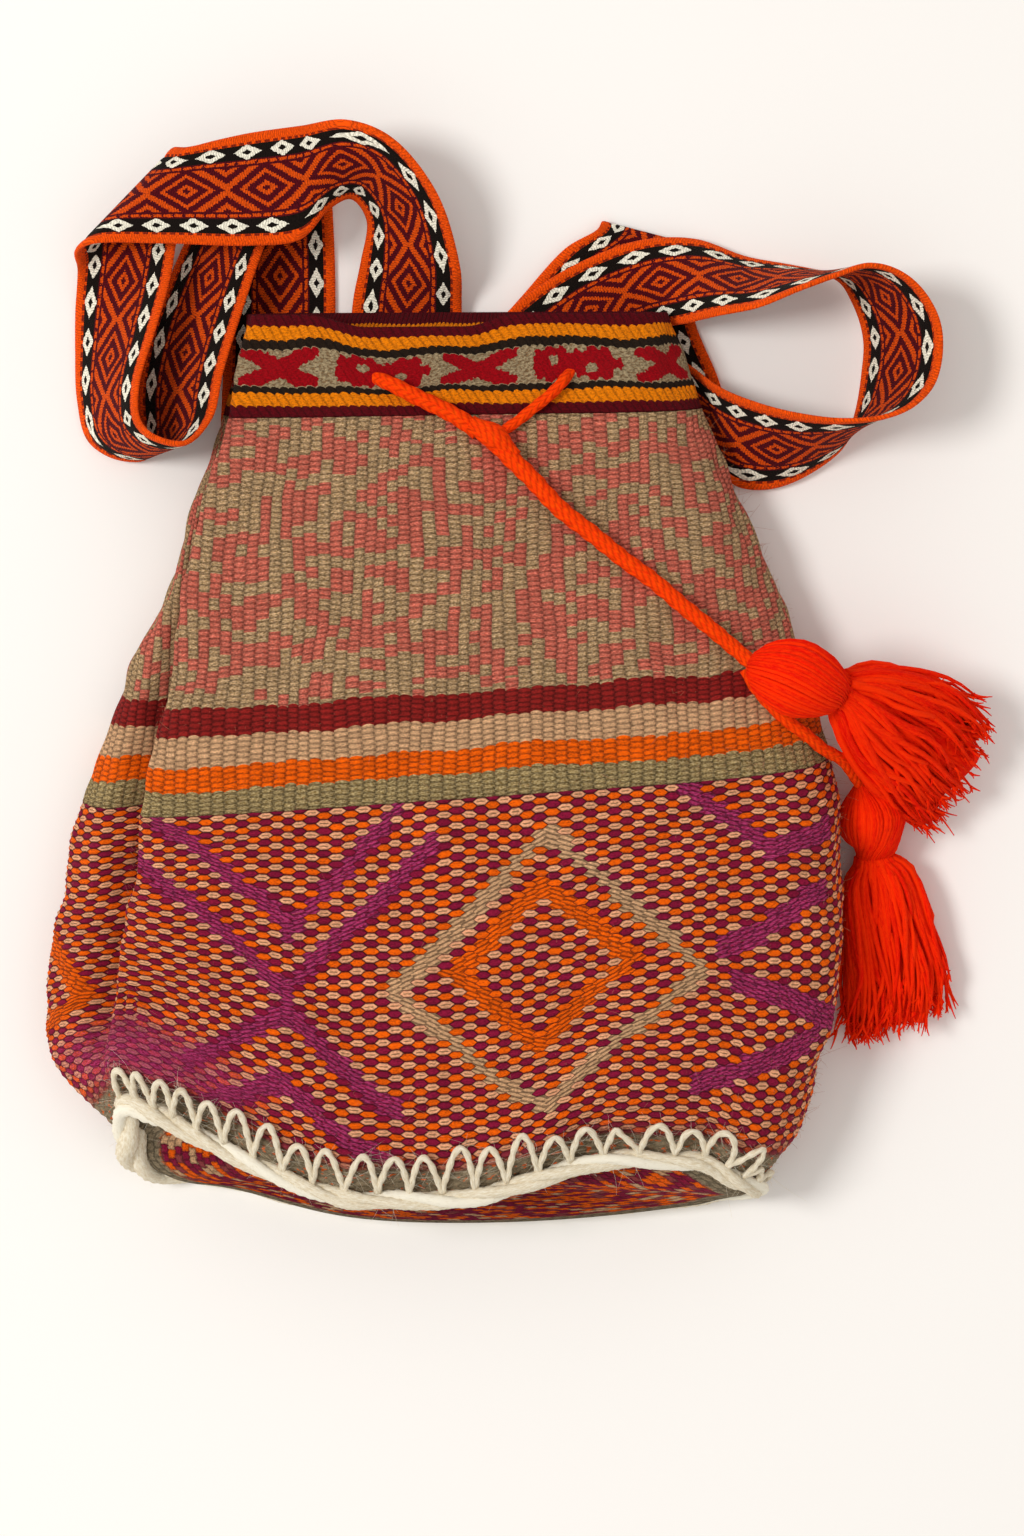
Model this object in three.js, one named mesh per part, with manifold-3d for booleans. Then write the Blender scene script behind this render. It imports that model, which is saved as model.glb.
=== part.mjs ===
// A hand-woven wool backpack lying on its back, mouth toward +Y, front face toward +Z.
// One woven tube forms the front, sides and back. A patterned band closes round the mouth and a woven
// base is blanket-stitched to the foot. A wool drawstring runs through the band, is knotted in front and
// carries two tassels. Two woven straps are sewn behind the mouth and at the foot, and lie piled in folds.
// Sizes are in millimetres. The flat middle of the back lies on z = 0 with the origin at its centre.
import * as THREE from 'three';
import { mergeVertices } from 'three/addons/utils/BufferGeometryUtils.js';
import Module from 'manifold-3d';

const wasm = await Module();
wasm.setup();

// Cloth
const CLOTH = 4.0; // thickness of the woven tube
const BAND_CLOTH = 3.6; // thickness of the mouth band
const BASE_CLOTH = 4.0; // thickness of the base
const BASE_BULGE = 5.0; // how far the middle of the base swells outward
const SEAM_GAP = 0.3; // clear distance kept between neighbouring pieces

// Blanket stitching round the base
const CHAIN_YARN = 4.6; // diameter of the chain along the seam
const ARCH_YARN = 3.8; // diameter of the yarn in the arches
const ARCH_COUNT = 44; // arches round the whole seam
const YARN_GAP = 0.75; // clear distance between yarn and cloth
const ARCH_FOOT = 0.2; // lowest station where an arch may stand
const ARCH_REACH = 1.0; // station their points reach

// Straps
const STRAP_WIDTH = 54;
const STRAP_CLOTH = 2.6;
const STRAP_GAP = 0.45; // clear distance between stacked layers of strap
const STRAP_LAYERS = 3; // layers stacked under the mouth

// Drawstring and tassels
const CORD = 6.4; // diameter of the single cord
const TAIL = 9.0; // diameter of the doubled tail
const CORD_GAP = 0.35;
const KNOT_LENGTH = 21;
const KNOT_WIDTH = 15;
const UPPER_HEAD = 34; // diameter of the upper tassel's head
const UPPER_SPREAD = 56; // width of its yarn at the tips
const LOWER_HEAD = 31;
const LOWER_SPREAD = 54;
const BINDING = 3.4; // diameter of the yarn bound round a tassel's neck

// Mesh density
const ROUND_STEPS = 4; // samples between two section points
const CORD_SIDES = 8;

// Stations of the woven tube from the base seam up, and of the top of the mouth band.
// y: front line at x = 0, slope: rise of that line per mm toward +X, fold: left edge of the front,
// left / right: widest points, front / back: heights of the two faces, lean: how far the back runs ahead
// of the front, tuck: depth of the side pleat under the fold, seam / dip: share of the seam and mouth shapes.
const TUBE_STATIONS = [
  // y, slope, fold, left, right, front, back, lean, tuck, seam, dip
  [-200, 0, -148, -147, 138, 58, 9.5, -12, 0, 1, 0],
  [-177, 0.01, -153, -166, 160, 68, 6.5, -3, 3, 0.75, 0],
  [-148, 0.02, -155, -182, 169, 71, 1, 4, 8, 0.42, 0],
  [-109, 0.04, -154, -188, 178, 70, -2, 10, 12, 0.14, 0],
  [-64, 0.06, -149, -184, 180, 68, -2, 14, 14, 0, 0],
  [-18, 0.07, -143, -173, 174, 63, -2, 16, 14, 0, 0],
  [30, 0.07, -134, -155, 159, 56, -2, 16, 12, 0, 0],
  [73, 0.055, -126, -136, 147, 50, 0, 13, 8, 0, 0],
  [119, 0.035, -116, -120, 129, 44, 5, 9, 5, 0, 0],
  [159, 0.015, -104, -107, 115, 39, 9.6, 5, 3, 0, 0],
];
const BAND_TOP = [206, 0.005, -94, -96, 99, 35, 9.6, 3, 2, 0, 1];
const STATIONS = [...TUBE_STATIONS, BAND_TOP];
const BAND_FROM = TUBE_STATIONS.length - 1; // station where the band meets the tube
const TOP = STATIONS.length - 1;

const clamp = THREE.MathUtils.clamp;
const smooth = THREE.MathUtils.smoothstep;
const vec = (x, y, z) => new THREE.Vector3(x, y, z);

// Catmull-Rom value at place t in a row of numbers.
function between(row, t) {
  const last = row.length - 1;
  const i = clamp(Math.floor(t), 0, last - 1);
  const f = t - i;
  const p0 = row[Math.max(i - 1, 0)];
  const p1 = row[i];
  const p2 = row[i + 1];
  const p3 = row[Math.min(i + 2, last)];
  const v0 = (p2 - p0) / 2;
  const v1 = (p3 - p1) / 2;
  const a = 2 * p1 - 2 * p2 + v0 + v1;
  const b = -3 * p1 + 3 * p2 - 2 * v0 - v1;
  return ((a * f + b) * f + v0) * f + p1;
}

function stationAt(t) {
  const sizes = STATIONS[0].map((_, k) => between(STATIONS.map((row) => row[k]), t));
  const [y, slope, fold, left, right, front, back, lean, tuck, seam, dip] = sizes;
  return { y, slope, fold, left, right, front, back, lean, tuck, seam, dip };
}

// Height of the back above the floor: it rides over one strap at each side and over the pile at the mouth.
function strapLayer(n) {
  return STRAP_GAP + n * (STRAP_CLOTH + STRAP_GAP) + STRAP_CLOTH / 2;
}
const ONE_STRAP = STRAP_CLOTH + 2 * STRAP_GAP;
const MOUTH_LIFT = STRAP_LAYERS * (STRAP_CLOTH + STRAP_GAP) + STRAP_GAP;

function backRest(x, y) {
  const side = ONE_STRAP * smooth(Math.abs(x), 42, 52);
  const mouth = MOUTH_LIFT * smooth(y, 70, 140);
  return Math.max(side, mouth);
}

// The seam climbs at its left corner, hangs in the middle and drops again at its right corner.
function seamShape(x) {
  const leftRise = 50 * Math.pow(clamp((-45 - x) / 103, 0, 1), 1.35);
  const rightRise = 19 * smooth(x, -5, 80) - 13 * smooth(x, 112, 142);
  return leftRise + rightRise;
}

// The front of the mouth sags a little left of its middle.
function mouthDip(x) {
  return 6 * smooth(x, -70, -40) * (1 - smooth(x, 5, 30));
}

// A soft valley runs in from the left fold above the lifted bottom corner.
function cornerCrease(x, y) {
  const valley = Math.exp(-Math.pow((x + 146) / 26, 2) - Math.pow((y + 113) / 11, 2));
  const swell = Math.exp(-Math.pow((x + 134) / 24, 2) - Math.pow((y + 140) / 13, 2));
  return 5 * swell - 9 * valley;
}

// Closed outline of the tube for one station, set inward from the outside by inset.
function outlineOf(s, inset) {
  const [fold, left, right] = [s.fold + inset, s.left + inset, s.right - inset];
  const [front, back] = [s.front - inset, s.back + inset];
  const at = (share) => back + share * (front - back);
  const level = (share) => s.back + share * (s.front - s.back);
  const across = (share) => fold + share * (right - fold);
  const outline = new THREE.CatmullRomCurve3([
    vec(across(0.5), 0, front + 1.5),
    vec(across(0.8), 0, front),
    vec(right - 11, 0, at(0.8)),
    vec(right, 0, at(0.42)),
    vec(right - 13, 0, at(0.05)),
    vec(across(0.66), 0, back - 1.5),
    vec(across(0.33), 0, back - 1.5),
    vec(left + 13, 0, at(0.05)),
    vec(left, 0, at(0.3)),
    vec(left + 0.42 * (fold - left), 0, level(0.54) - 0.9 * inset),
    vec(s.fold + s.tuck + 2 * inset, 0, level(0.68) - 0.4 * inset),
    vec(s.fold + 1.2 * inset, 0, level(0.86) - 0.2 * inset),
    vec(across(0.16), 0, front - 0.5),
  ], true, 'centripetal');
  const count = outline.points.length * ROUND_STEPS;
  return Array.from({ length: count }, (_, i) => outline.getPoint(i / count));
}

// Closed ring of the tube at station t; every ring keeps the lengthwise places of the outside.
function sectionAt(t, inset) {
  const s = stationAt(t);
  const outside = outlineOf(s, 0);
  const ring = inset === 0 ? outside : outlineOf(s, inset);
  return ring.map((p, i) => {
    const { x, z } = outside[i];
    const share = clamp((z - s.back) / (s.front - s.back), 0, 1);
    let y = s.y + s.slope * x + s.lean * (1 - share);
    y += share * (s.seam * seamShape(x) - s.dip * mouthDip(x));
    y += s.seam * (1 - share) * 14 * Math.pow(x / 150, 2);
    const crease = smooth(share, 0.85, 0.98) * cornerCrease(x, y);
    return vec(p.x, y, Math.max(p.z + crease, backRest(x, y) + inset));
  });
}

// Skin over a row of closed rings; the row itself closes into a loop or is capped at both ends.
function skin(rings, loop) {
  const size = rings[0].length;
  const spots = rings.flat();
  const faces = [];
  const rows = loop ? rings.length : rings.length - 1;
  for (let j = 0; j < rows; j += 1) {
    const a = j * size;
    const b = ((j + 1) % rings.length) * size;
    for (let i = 0; i < size; i += 1) {
      const n = (i + 1) % size;
      faces.push(a + i, a + n, b + n, a + i, b + n, b + i);
    }
  }
  if (!loop) {
    for (const [ring, turn] of [[0, false], [rings.length - 1, true]]) {
      const middle = rings[ring].reduce((sum, p) => sum.add(p), vec(0, 0, 0)).divideScalar(size);
      const hub = spots.push(middle) - 1;
      for (let i = 0; i < size; i += 1) {
        const p = ring * size + i;
        const q = ring * size + ((i + 1) % size);
        faces.push(...(turn ? [hub, p, q] : [hub, q, p]));
      }
    }
  }
  return faceOutward(spots, faces);
}

function faceOutward(spots, faces) {
  let volume = 0;
  for (let f = 0; f < faces.length; f += 3) {
    const [a, b, c] = [spots[faces[f]], spots[faces[f + 1]], spots[faces[f + 2]]];
    volume += a.dot(b.clone().cross(c));
  }
  const turned = [];
  for (let f = 0; f < faces.length; f += 3) {
    const order = volume > 0 ? [0, 1, 2] : [0, 2, 1];
    order.forEach((k) => turned.push(faces[f + k]));
  }
  const geometry = new THREE.BufferGeometry();
  const flat = spots.flatMap((p) => [p.x, p.y, p.z]);
  geometry.setAttribute('position', new THREE.Float32BufferAttribute(flat, 3));
  geometry.setIndex(turned);
  return geometry;
}

function toSolid(geometry) {
  const plain = geometry.clone();
  plain.deleteAttribute('normal');
  plain.deleteAttribute('uv');
  const welded = mergeVertices(plain, 1e-4);
  return new wasm.Manifold(new wasm.Mesh({
    numProp: 3,
    vertProperties: new Float32Array(welded.attributes.position.array),
    triVerts: new Uint32Array(welded.index.array),
  }));
}

function fromSolid(solid) {
  const mesh = solid.getMesh();
  const geometry = new THREE.BufferGeometry();
  geometry.setAttribute('position', new THREE.Float32BufferAttribute(mesh.vertProperties, 3));
  geometry.setIndex(Array.from(mesh.triVerts));
  return geometry;
}

// Wall between two stations: outside upward, inside downward, rims at both ends.
function wall(from, to, steps, thickness, drop) {
  const ringAt = (k, inset) => {
    const ring = sectionAt(from + (to - from) * (k / steps), inset);
    if (k === steps) ring.forEach((p) => p.setY(p.y - drop));
    return ring;
  };
  const rings = [];
  for (let k = 0; k <= steps; k += 1) rings.push(ringAt(k, 0));
  for (let k = steps; k >= 0; k -= 1) rings.push(ringAt(k, thickness));
  return skin(rings, true);
}

// Base sheet closing the foot of the tube.
function baseSheet() {
  const rim = sectionAt(0, SEAM_GAP);
  const lip = sectionAt(0, CLOTH + 1);
  const hub = lip.reduce((sum, p) => sum.add(p), vec(0, 0, 0)).divideScalar(lip.length);
  const lower = (ring, down) => ring.map((p) => vec(p.x, p.y - down, p.z));
  const ring = (share, down) => lip.map((p) => {
    const q = hub.clone().lerp(p, share);
    q.y -= down + BASE_BULGE * (1 - share * share);
    return q;
  });
  const outside = SEAM_GAP + BASE_CLOTH;
  const shares = [0.3, 0.7];
  return skin([
    ...shares.map((share) => ring(share, SEAM_GAP)),
    lower(lip, SEAM_GAP),
    lower(rim, SEAM_GAP),
    lower(rim, SEAM_GAP + 0.6 * BASE_CLOTH),
    lower(lip, outside),
    ...shares.slice().reverse().map((share) => ring(share, outside)),
  ], false);
}

function tube(points, diameter, sides, steps, closed = false) {
  const path = new THREE.CatmullRomCurve3(points, closed, 'centripetal');
  const round = new THREE.Shape();
  for (let i = 0; i < sides; i += 1) {
    const turn = (2 * Math.PI * i) / sides;
    const [x, y] = [(diameter / 2) * Math.cos(turn), (diameter / 2) * Math.sin(turn)];
    if (i === 0) round.moveTo(x, y);
    else round.lineTo(x, y);
  }
  round.closePath();
  return new THREE.ExtrudeGeometry(round, { steps, extrudePath: path, bevelEnabled: false });
}

// Point on the tube at a share of the way round, or as far inside it as inset.
function onTube(turn, station, inset) {
  const ring = sectionAt(station, inset);
  const place = (turn - Math.floor(turn)) * ring.length;
  const i = Math.floor(place);
  return ring[i].clone().lerp(ring[(i + 1) % ring.length], place - i);
}

// Outward direction of the tube's skin.
function outwardAt(turn, station) {
  const [low, high] = [Math.max(station - 0.05, 0), Math.min(station + 0.05, TOP)];
  const around = onTube(turn + 0.008, station, 0).sub(onTube(turn - 0.008, station, 0));
  const up = onTube(turn, high, 0).sub(onTube(turn, low, 0));
  return around.cross(up).normalize();
}

// Point at a height above the cloth.
function onCloth(turn, station, height) {
  return onTube(turn, station, 0).addScaledVector(outwardAt(turn, station), height);
}

function evenTurns(count) {
  const ring = sectionAt(0, 0);
  const reach = [0];
  ring.forEach((p, i) => reach.push(reach[i] + p.distanceTo(ring[(i + 1) % ring.length])));
  const total = reach[ring.length];
  const turns = [];
  for (let k = 0; k <= count; k += 1) {
    const want = (total * k) / count;
    let i = 0;
    while (i < ring.length - 1 && reach[i + 1] < want) i += 1;
    turns.push((i + (want - reach[i]) / (reach[i + 1] - reach[i])) / ring.length);
  }
  return turns;
}

// The chain lies in the corner where the tube's skin meets the edge of the base.
function chainSpot(turn) {
  const reach = CHAIN_YARN / 2 + YARN_GAP;
  const outward = outwardAt(turn, 0);
  const level = vec(outward.x, 0, outward.z).normalize();
  const spot = onTube(turn, 0, 0).addScaledVector(level, reach);
  const short = reach - reach * outward.dot(level);
  if (outward.y < 0) spot.y += short / outward.y;
  return spot;
}

function seamChain() {
  const turns = evenTurns(ARCH_COUNT * 2).slice(0, -1);
  const outward = turns.map((turn) => outwardAt(turn, 0));
  return yarnLoop(turns.map(chainSpot), outward, CHAIN_YARN, 5);
}

// Lowest station at which an arch can stand clear of the chain.
function archFoot(turn) {
  const clear = (CHAIN_YARN + ARCH_YARN) / 2 + 6 * YARN_GAP;
  let station = ARCH_FOOT;
  while (station < ARCH_REACH && archSpot(turn, station).distanceTo(chainSpot(turn)) < clear) station += 0.03;
  return station;
}

// Share of the way round at which a spot up the flat of the front or back stands straight over its place
// on the seam. Round the two corners the spots fan out with the tube.
function plumbTurn(turn, station) {
  const foot = onTube(turn, 0, 0);
  const next = onTube(turn + 0.01, station, 0);
  const spot = onTube(turn, station, 0);
  const flat = smooth(foot.x, -140, -115) * (1 - smooth(foot.x, 105, 130));
  return turn - (flat * 0.01 * (spot.x - foot.x)) / (next.x - spot.x);
}

function archSpot(turn, station) {
  return onCloth(plumbTurn(turn, station), station, ARCH_YARN / 2 + YARN_GAP);
}

// One yarn climbs and falls in pointed arches whose feet stand on the chain.
function seamArches() {
  const climb = [[0, 0], [0.26, 0.55], [0.5, 1], [0.74, 0.55]];
  const turns = evenTurns(ARCH_COUNT);
  const spots = [];
  const outward = [];
  for (let k = 0; k < ARCH_COUNT; k += 1) {
    for (const [share, height] of climb) {
      const turn = turns[k] + share * (turns[k + 1] - turns[k]);
      const foot = archFoot(turn);
      const station = foot + height * (ARCH_REACH - foot);
      spots.push(archSpot(turn, station));
      outward.push(outwardAt(plumbTurn(turn, station), station));
    }
  }
  return yarnLoop(spots, outward, ARCH_YARN, 4);
}

// Closed loop of yarn through the given points, each with its outward direction.
function yarnLoop(points, outward, diameter, sides) {
  const count = points.length;
  const rings = points.map((p, i) => {
    const along = points[(i + 1) % count].clone().sub(points[(i + count - 1) % count]).normalize();
    const side = along.clone().cross(outward[i]).normalize();
    const out = side.clone().cross(along);
    return Array.from({ length: sides }, (_, k) => {
      const turn = (2 * Math.PI * (k + 0.5)) / sides;
      const q = p.clone().addScaledVector(out, (diameter / 2) * Math.cos(turn));
      return q.addScaledVector(side, (diameter / 2) * Math.sin(turn));
    });
  });
  return skin(rings, true);
}

// Strap stations: the lower edge's place, the heading and lift in degrees toward the other edge, and the
// share of the full width, which is above one where the strap is folded on the bias.
const [LOW, MID, HIGH] = [strapLayer(0), strapLayer(1), strapLayer(2)];
const LEFT_STRAP = [
  [-49, 168, HIGH, 0, 0, 0.97],
  [-48, 212, HIGH, 0, 0, 0.95],
  [-44, 233, 10, -4, 16, 0.90],
  [-41, 252, 11, 16, 42, 0.85],
  [-48, 261, 20, 52, 42, 0.78],
  [-57, 256, 27, 78, 26, 0.80],
  [-71, 240, 36, 90, 2, 0.97],
  [-94, 237, 38, 90, -2, 0.97],
  [-133, 238, 38, 64, -2, 0.99],
  [-168, 238, 36, 45, -2, 1.20],
  [-176, 235, 26, 46, 2, 1.32],
  [-176, 229, 14, 43, 9, 1.34],
  [-178, 211, 3, 19, 28, 1.05],
  [-178, 192, 2.5, 11, 40, 1.0],
  [-177, 169, 2.5, 6, 53, 1.0],
  [-172, 150, 2.5, 13, 58, 1.0],
  [-158, 142, 2.5, 16, 64, 1.0],
  [-141, 143, 2.5, 8, 66, 1.0],
  [-130, 153, 2.5, 10, 63, 1.0],
  [-127, 171, 2.5, 16, 57, 1.0],
  [-127, 197, 3, 17, 47, 0.97],
  [-124, 223, 4, 20, 37, 0.92],
  [-119, 246, 8, 19, 21, 0.92],
  [-112, 266, 13, 6, 8, 0.93],
  [-110, 272, 9, 6, 4, 0.93],
  [-109, 266, 4.6, 4, 1, 0.94],
  [-108, 244, LOW + 0.4, 0, 0, 0.95],
  [-108, 208, LOW, 0, 0, 0.96],
  [-112, 122, LOW, 0, 0, 0.98],
  [-123, -19, LOW, 0, 0, 1.0],
  [-135, -168, LOW, 0, 0, 1.0],
];
const RIGHT_STRAP = [
  [111, 143, HIGH, 109, 0, 1.0],
  [122, 136, HIGH - 0.6, 105, 3, 0.95],
  [133, 128, 4, 102, 21, 0.92],
  [147, 127, 3, 99, 40, 0.92],
  [162, 132, 3, 96, 57, 0.92],
  [180, 145, 3, 94, 78, 0.95],
  [186, 156, 3, 5, 77, 0.97],
  [189, 167, 3, -10, 64, 0.98],
  [191, 181, 3, -14, 54, 0.98],
  [192, 195, 3, -11, 51, 0.98],
  [190, 206, 3, -6, 51, 0.98],
  [186, 216, 3, 0, 57, 0.98],
  [182, 223, 3, 2, 65, 0.97],
  [177, 227, 3, -3, 75, 0.97],
  [169, 229, 3, -47, 79, 0.97],
  [155, 232, 3, -77, 71, 0.97],
  [136, 236, 3, -81, 57, 0.96],
  [113, 244, 5, -78, 38, 0.94],
  [89, 246, 10, -64, 14, 0.88],
  [66, 240, 10.5, -51, -4, 0.86],
  [45, 228, 9, -42, -2, 0.90],
  [28, 213, HIGH, -39, 0, 0.92],
  [16, 200, HIGH, -39, 0, 0.92],
  [12, 196, 6.4, -39, 0, 0.92],
  [15, 199, MID, -39, 0, 0.92],
  [31, 217, MID, -38, 0, 0.94],
  [52, 240, MID, -25, 0, 0.94],
  [67, 249, MID, -15, 0, 0.88],
  [69, 253, 3.4, -15, 0, 0.88],
  [68, 248, LOW + 0.8, -12, 0, 0.86],
  [62, 205, LOW, 5, 0, 0.93],
  [75, 164, LOW, 8, 0, 0.95],
  [73, 132, LOW, 3, 0, 0.97],
  [68, 75, LOW, 0, 0, 1.0],
  [69, -19, LOW, 0, 0, 1.0],
  [72, -168, LOW, 0, 0, 1.0],
];

function strap(stations) {
  const low = [];
  const high = [];
  for (const [x, y, z, heading, lift, share] of stations) {
    const turn = THREE.MathUtils.degToRad(heading);
    const rise = THREE.MathUtils.degToRad(lift);
    const across = vec(Math.cos(rise) * Math.cos(turn), Math.cos(rise) * Math.sin(turn), Math.sin(rise));
    low.push(vec(x, y, z));
    high.push(vec(x, y, z).addScaledVector(across, STRAP_WIDTH * share));
  }
  const lowEdge = new THREE.CatmullRomCurve3(low, false, 'centripetal');
  const highEdge = new THREE.CatmullRomCurve3(high, false, 'centripetal');
  const steps = (stations.length - 1) * 3;
  const rings = [];
  for (let k = 0; k <= steps; k += 1) {
    const t = k / steps;
    const a = lowEdge.getPoint(t);
    const b = highEdge.getPoint(t);
    const along = lowEdge.getTangent(t).add(highEdge.getTangent(t));
    const normal = b.clone().sub(a).cross(along).normalize();
    const spot = (share, side) => a.clone().lerp(b, share).addScaledVector(normal, (side * STRAP_CLOTH) / 2);
    rings.push([spot(0, 0), spot(0.035, 1), spot(0.965, 1), spot(1, 0), spot(0.965, -1), spot(0.035, -1)]);
  }
  return skin(rings, false);
}

// Drawstring: from the knot over the front, in through the band, round the inside of the mouth and back.
const LYING = CORD / 2 + CORD_GAP; // height of a cord's middle above the cloth it lies on
const INSIDE = BAND_CLOTH + CORD / 2 + 2 * CORD_GAP; // depth of its middle behind the band
const LEFT_RUN = [[0.006, 8.78], [0.996, 8.95], [0.987, 9.07], [0.976, 9.19], [0.967, 9.29]];
const LEFT_HOLE = [0.959, 9.37];
const RIGHT_RUN = [[0.018, 8.78], [0.026, 8.9], [0.035, 9.04], [0.045, 9.17], [0.052, 9.27]];
const RIGHT_HOLE = [0.059, 9.36];

// Round turn of the cord at one end of the mouth, from the front of the band to its back.
function mouthTurn(x, inward) {
  const s = stationAt(BAND_FROM + 0.45);
  const y = s.y + s.lean / 2;
  const middle = (s.front + s.back) / 2;
  return [
    vec(x + inward, y, middle + 0.65 * CORD),
    vec(x, y, middle),
    vec(x + inward, y, middle - 0.9 * CORD),
  ];
}

const lying = ([turn, station]) => onCloth(turn, station, LYING);
const through = ([turn, station]) => onTube(turn, station, BAND_CLOTH / 2);
const behind = ([turn, station]) => onTube(turn, station, INSIDE);
const mouth = stationAt(BAND_FROM + 0.45);
const leftEntry = [lying(LEFT_RUN[4]), through(LEFT_HOLE), behind([0.949, 9.43])];
const rightEntry = [lying(RIGHT_RUN[4]), through(RIGHT_HOLE), behind([0.075, 9.42])];
const drawstringRoute = [
  ...LEFT_RUN.slice(0, 4).map(lying),
  ...leftEntry,
  ...[[0.938, 9.45], [0.925, 9.45]].map(behind),
  ...mouthTurn(mouth.left + 18, CORD),
  ...[[0.51, 9.45], [0.46, 9.45], [0.42, 9.45], [0.385, 9.45], [0.35, 9.45]].map(behind),
  ...mouthTurn(mouth.right - 18, -CORD).reverse(),
  behind([0.094, 9.44]),
  ...rightEntry.reverse(),
  ...RIGHT_RUN.slice(0, 4).reverse().map(lying),
];

// The knot and the doubled tail that crosses the front to the upper tassel.
const KNOT_AT = [0.013, 8.67];
const TAIL_RUN = [
  [0.016, 8.6], [0.022, 8.43], [0.03, 8.2], [0.041, 7.85], [0.053, 7.58], [0.064, 7.32], [0.077, 7.05],
  [0.091, 6.78], [0.108, 6.46], [0.12, 6.22],
];
const tailRoute = TAIL_RUN.map(([turn, station]) => onCloth(turn, station, TAIL / 2 + CORD_GAP));

function knotShape(grow) {
  const ball = new THREE.SphereGeometry(0.5, 14, 10);
  ball.scale(KNOT_LENGTH + 2 * grow, KNOT_WIDTH + 2 * grow, KNOT_WIDTH * 0.8 + 2 * grow);
  ball.rotateZ(THREE.MathUtils.degToRad(-44));
  const spot = onCloth(KNOT_AT[0], KNOT_AT[1], KNOT_WIDTH * 0.4 + CORD_GAP);
  ball.translate(spot.x, spot.y, spot.z);
  return toSolid(ball);
}

// Tassels: a bundle of yarn along a spine. Each station has the side that faces the bag, its place along
// the bag, its underside, its half width as a share of the head or the spread, and its height per width.
function tasselStation(size, [side, y, under, share, flat]) {
  const wide = (share * size) / 2;
  const tall = wide * flat;
  return [side + wide, y, under + tall, wide, tall];
}

function tassel(head, spread, { top, neck, yarn }) {
  const stations = [
    ...top.map((row) => tasselStation(head, row)),
    tasselStation(head, neck),
    ...yarn.map((row) => tasselStation(spread, row)),
  ];
  return { stations, neck: top.length };
}

const UPPER_TASSEL = tassel(UPPER_HEAD, UPPER_SPREAD, {
  top: [[132, 43, 55, 0.3, 1], [130, 41, 51, 0.76, 1], [139, 37, 49, 1, 1], [155, 33, 51, 0.82, 1]],
  neck: [167.5, 31, 52.5, 0.5, 1],
  yarn: [
    [171, 26, 41, 0.54, 0.8], [179, 15, 29.5, 0.86, 0.5], [193, 3, 19, 0.96, 0.41], [208, -14, 8, 1, 0.29],
  ],
});
const LOWER_TASSEL = tassel(LOWER_HEAD, LOWER_SPREAD, {
  top: [[186, -11, 18, 0.26, 1], [181, -18, 9, 0.71, 1], [178.5, -28, 3, 1, 1], [184.5, -38, 5.3, 0.74, 1]],
  neck: [189, -46, 8, 0.45, 1],
  yarn: [
    [186, -58, 3.5, 0.44, 0.8], [183, -80, 1, 0.78, 0.5], [183, -105, 1, 0.93, 0.4], [182, -127, 1, 1, 0.3],
  ],
});

function bundle({ stations, neck }, grow) {
  const spine = stations.map(([x, y, z]) => vec(x, y, z));
  const path = new THREE.CatmullRomCurve3(spine, false, 'centripetal');
  const wide = stations.map((s) => s[3]);
  const tall = stations.map((s) => s[4]);
  const steps = (stations.length - 1) * 2;
  const rings = [];
  for (let k = 0; k <= steps; k += 1) {
    const t = k / steps;
    const place = t * (stations.length - 1);
    const along = path.getTangent(t);
    const side = along.clone().cross(vec(0, 0, 1)).normalize();
    const up = side.clone().cross(along);
    const fluted = smooth(place, neck, neck + 2);
    const [w, h] = [between(wide, place) + grow, between(tall, place) + grow];
    const ring = [];
    for (let i = 0; i < 20; i += 1) {
      const turn = (2 * Math.PI * i) / 20;
      const flute = 1 - 0.07 * fluted * (i % 2);
      const p = path.getPoint(t).addScaledVector(side, w * flute * Math.cos(turn));
      ring.push(p.addScaledVector(up, h * flute * Math.sin(turn)));
    }
    rings.push(ring);
  }
  return skin(rings, false);
}

function bindingOf({ stations, neck }) {
  const [x, y, z, wide, tall] = stations[neck];
  const [bx, by, bz] = stations[neck - 1];
  const [ax, ay, az] = stations[neck + 1];
  const along = vec(ax - bx, ay - by, az - bz).normalize();
  const side = along.clone().cross(vec(0, 0, 1)).normalize();
  const up = side.clone().cross(along);
  const reach = BINDING / 2 + 2 * CORD_GAP;
  const points = [];
  for (let i = 0; i < 18; i += 1) {
    const turn = (2 * Math.PI * i) / 18;
    const p = vec(x, y, z).addScaledVector(side, (wide + reach) * Math.cos(turn));
    points.push(p.addScaledVector(up, (tall + reach) * Math.sin(turn)));
  }
  const rings = points.map((p) => {
    const out = p.clone().sub(vec(x, y, z)).normalize();
    return Array.from({ length: 6 }, (_, k) => {
      const turn = (2 * Math.PI * k) / 6;
      const q = p.clone().addScaledVector(out, (BINDING / 2) * Math.cos(turn));
      return q.addScaledVector(along, (BINDING / 2) * Math.sin(turn));
    });
  });
  return skin(rings, true);
}

// The single cord that leaves the tail beside the upper tassel and drops over the edge to the lower one.
const TAIL_END_RUN = [
  [0.124, 6.0], [0.126, 5.85], [0.131, 5.68], [0.142, 5.45], [0.157, 5.27], [0.175, 5.12],
];
const tailEndRoute = [
  ...TAIL_END_RUN.map(lying),
  vec(179, 0, 38),
  vec(186, -8, 28),
  vec(190, -14, 21),
];

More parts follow.
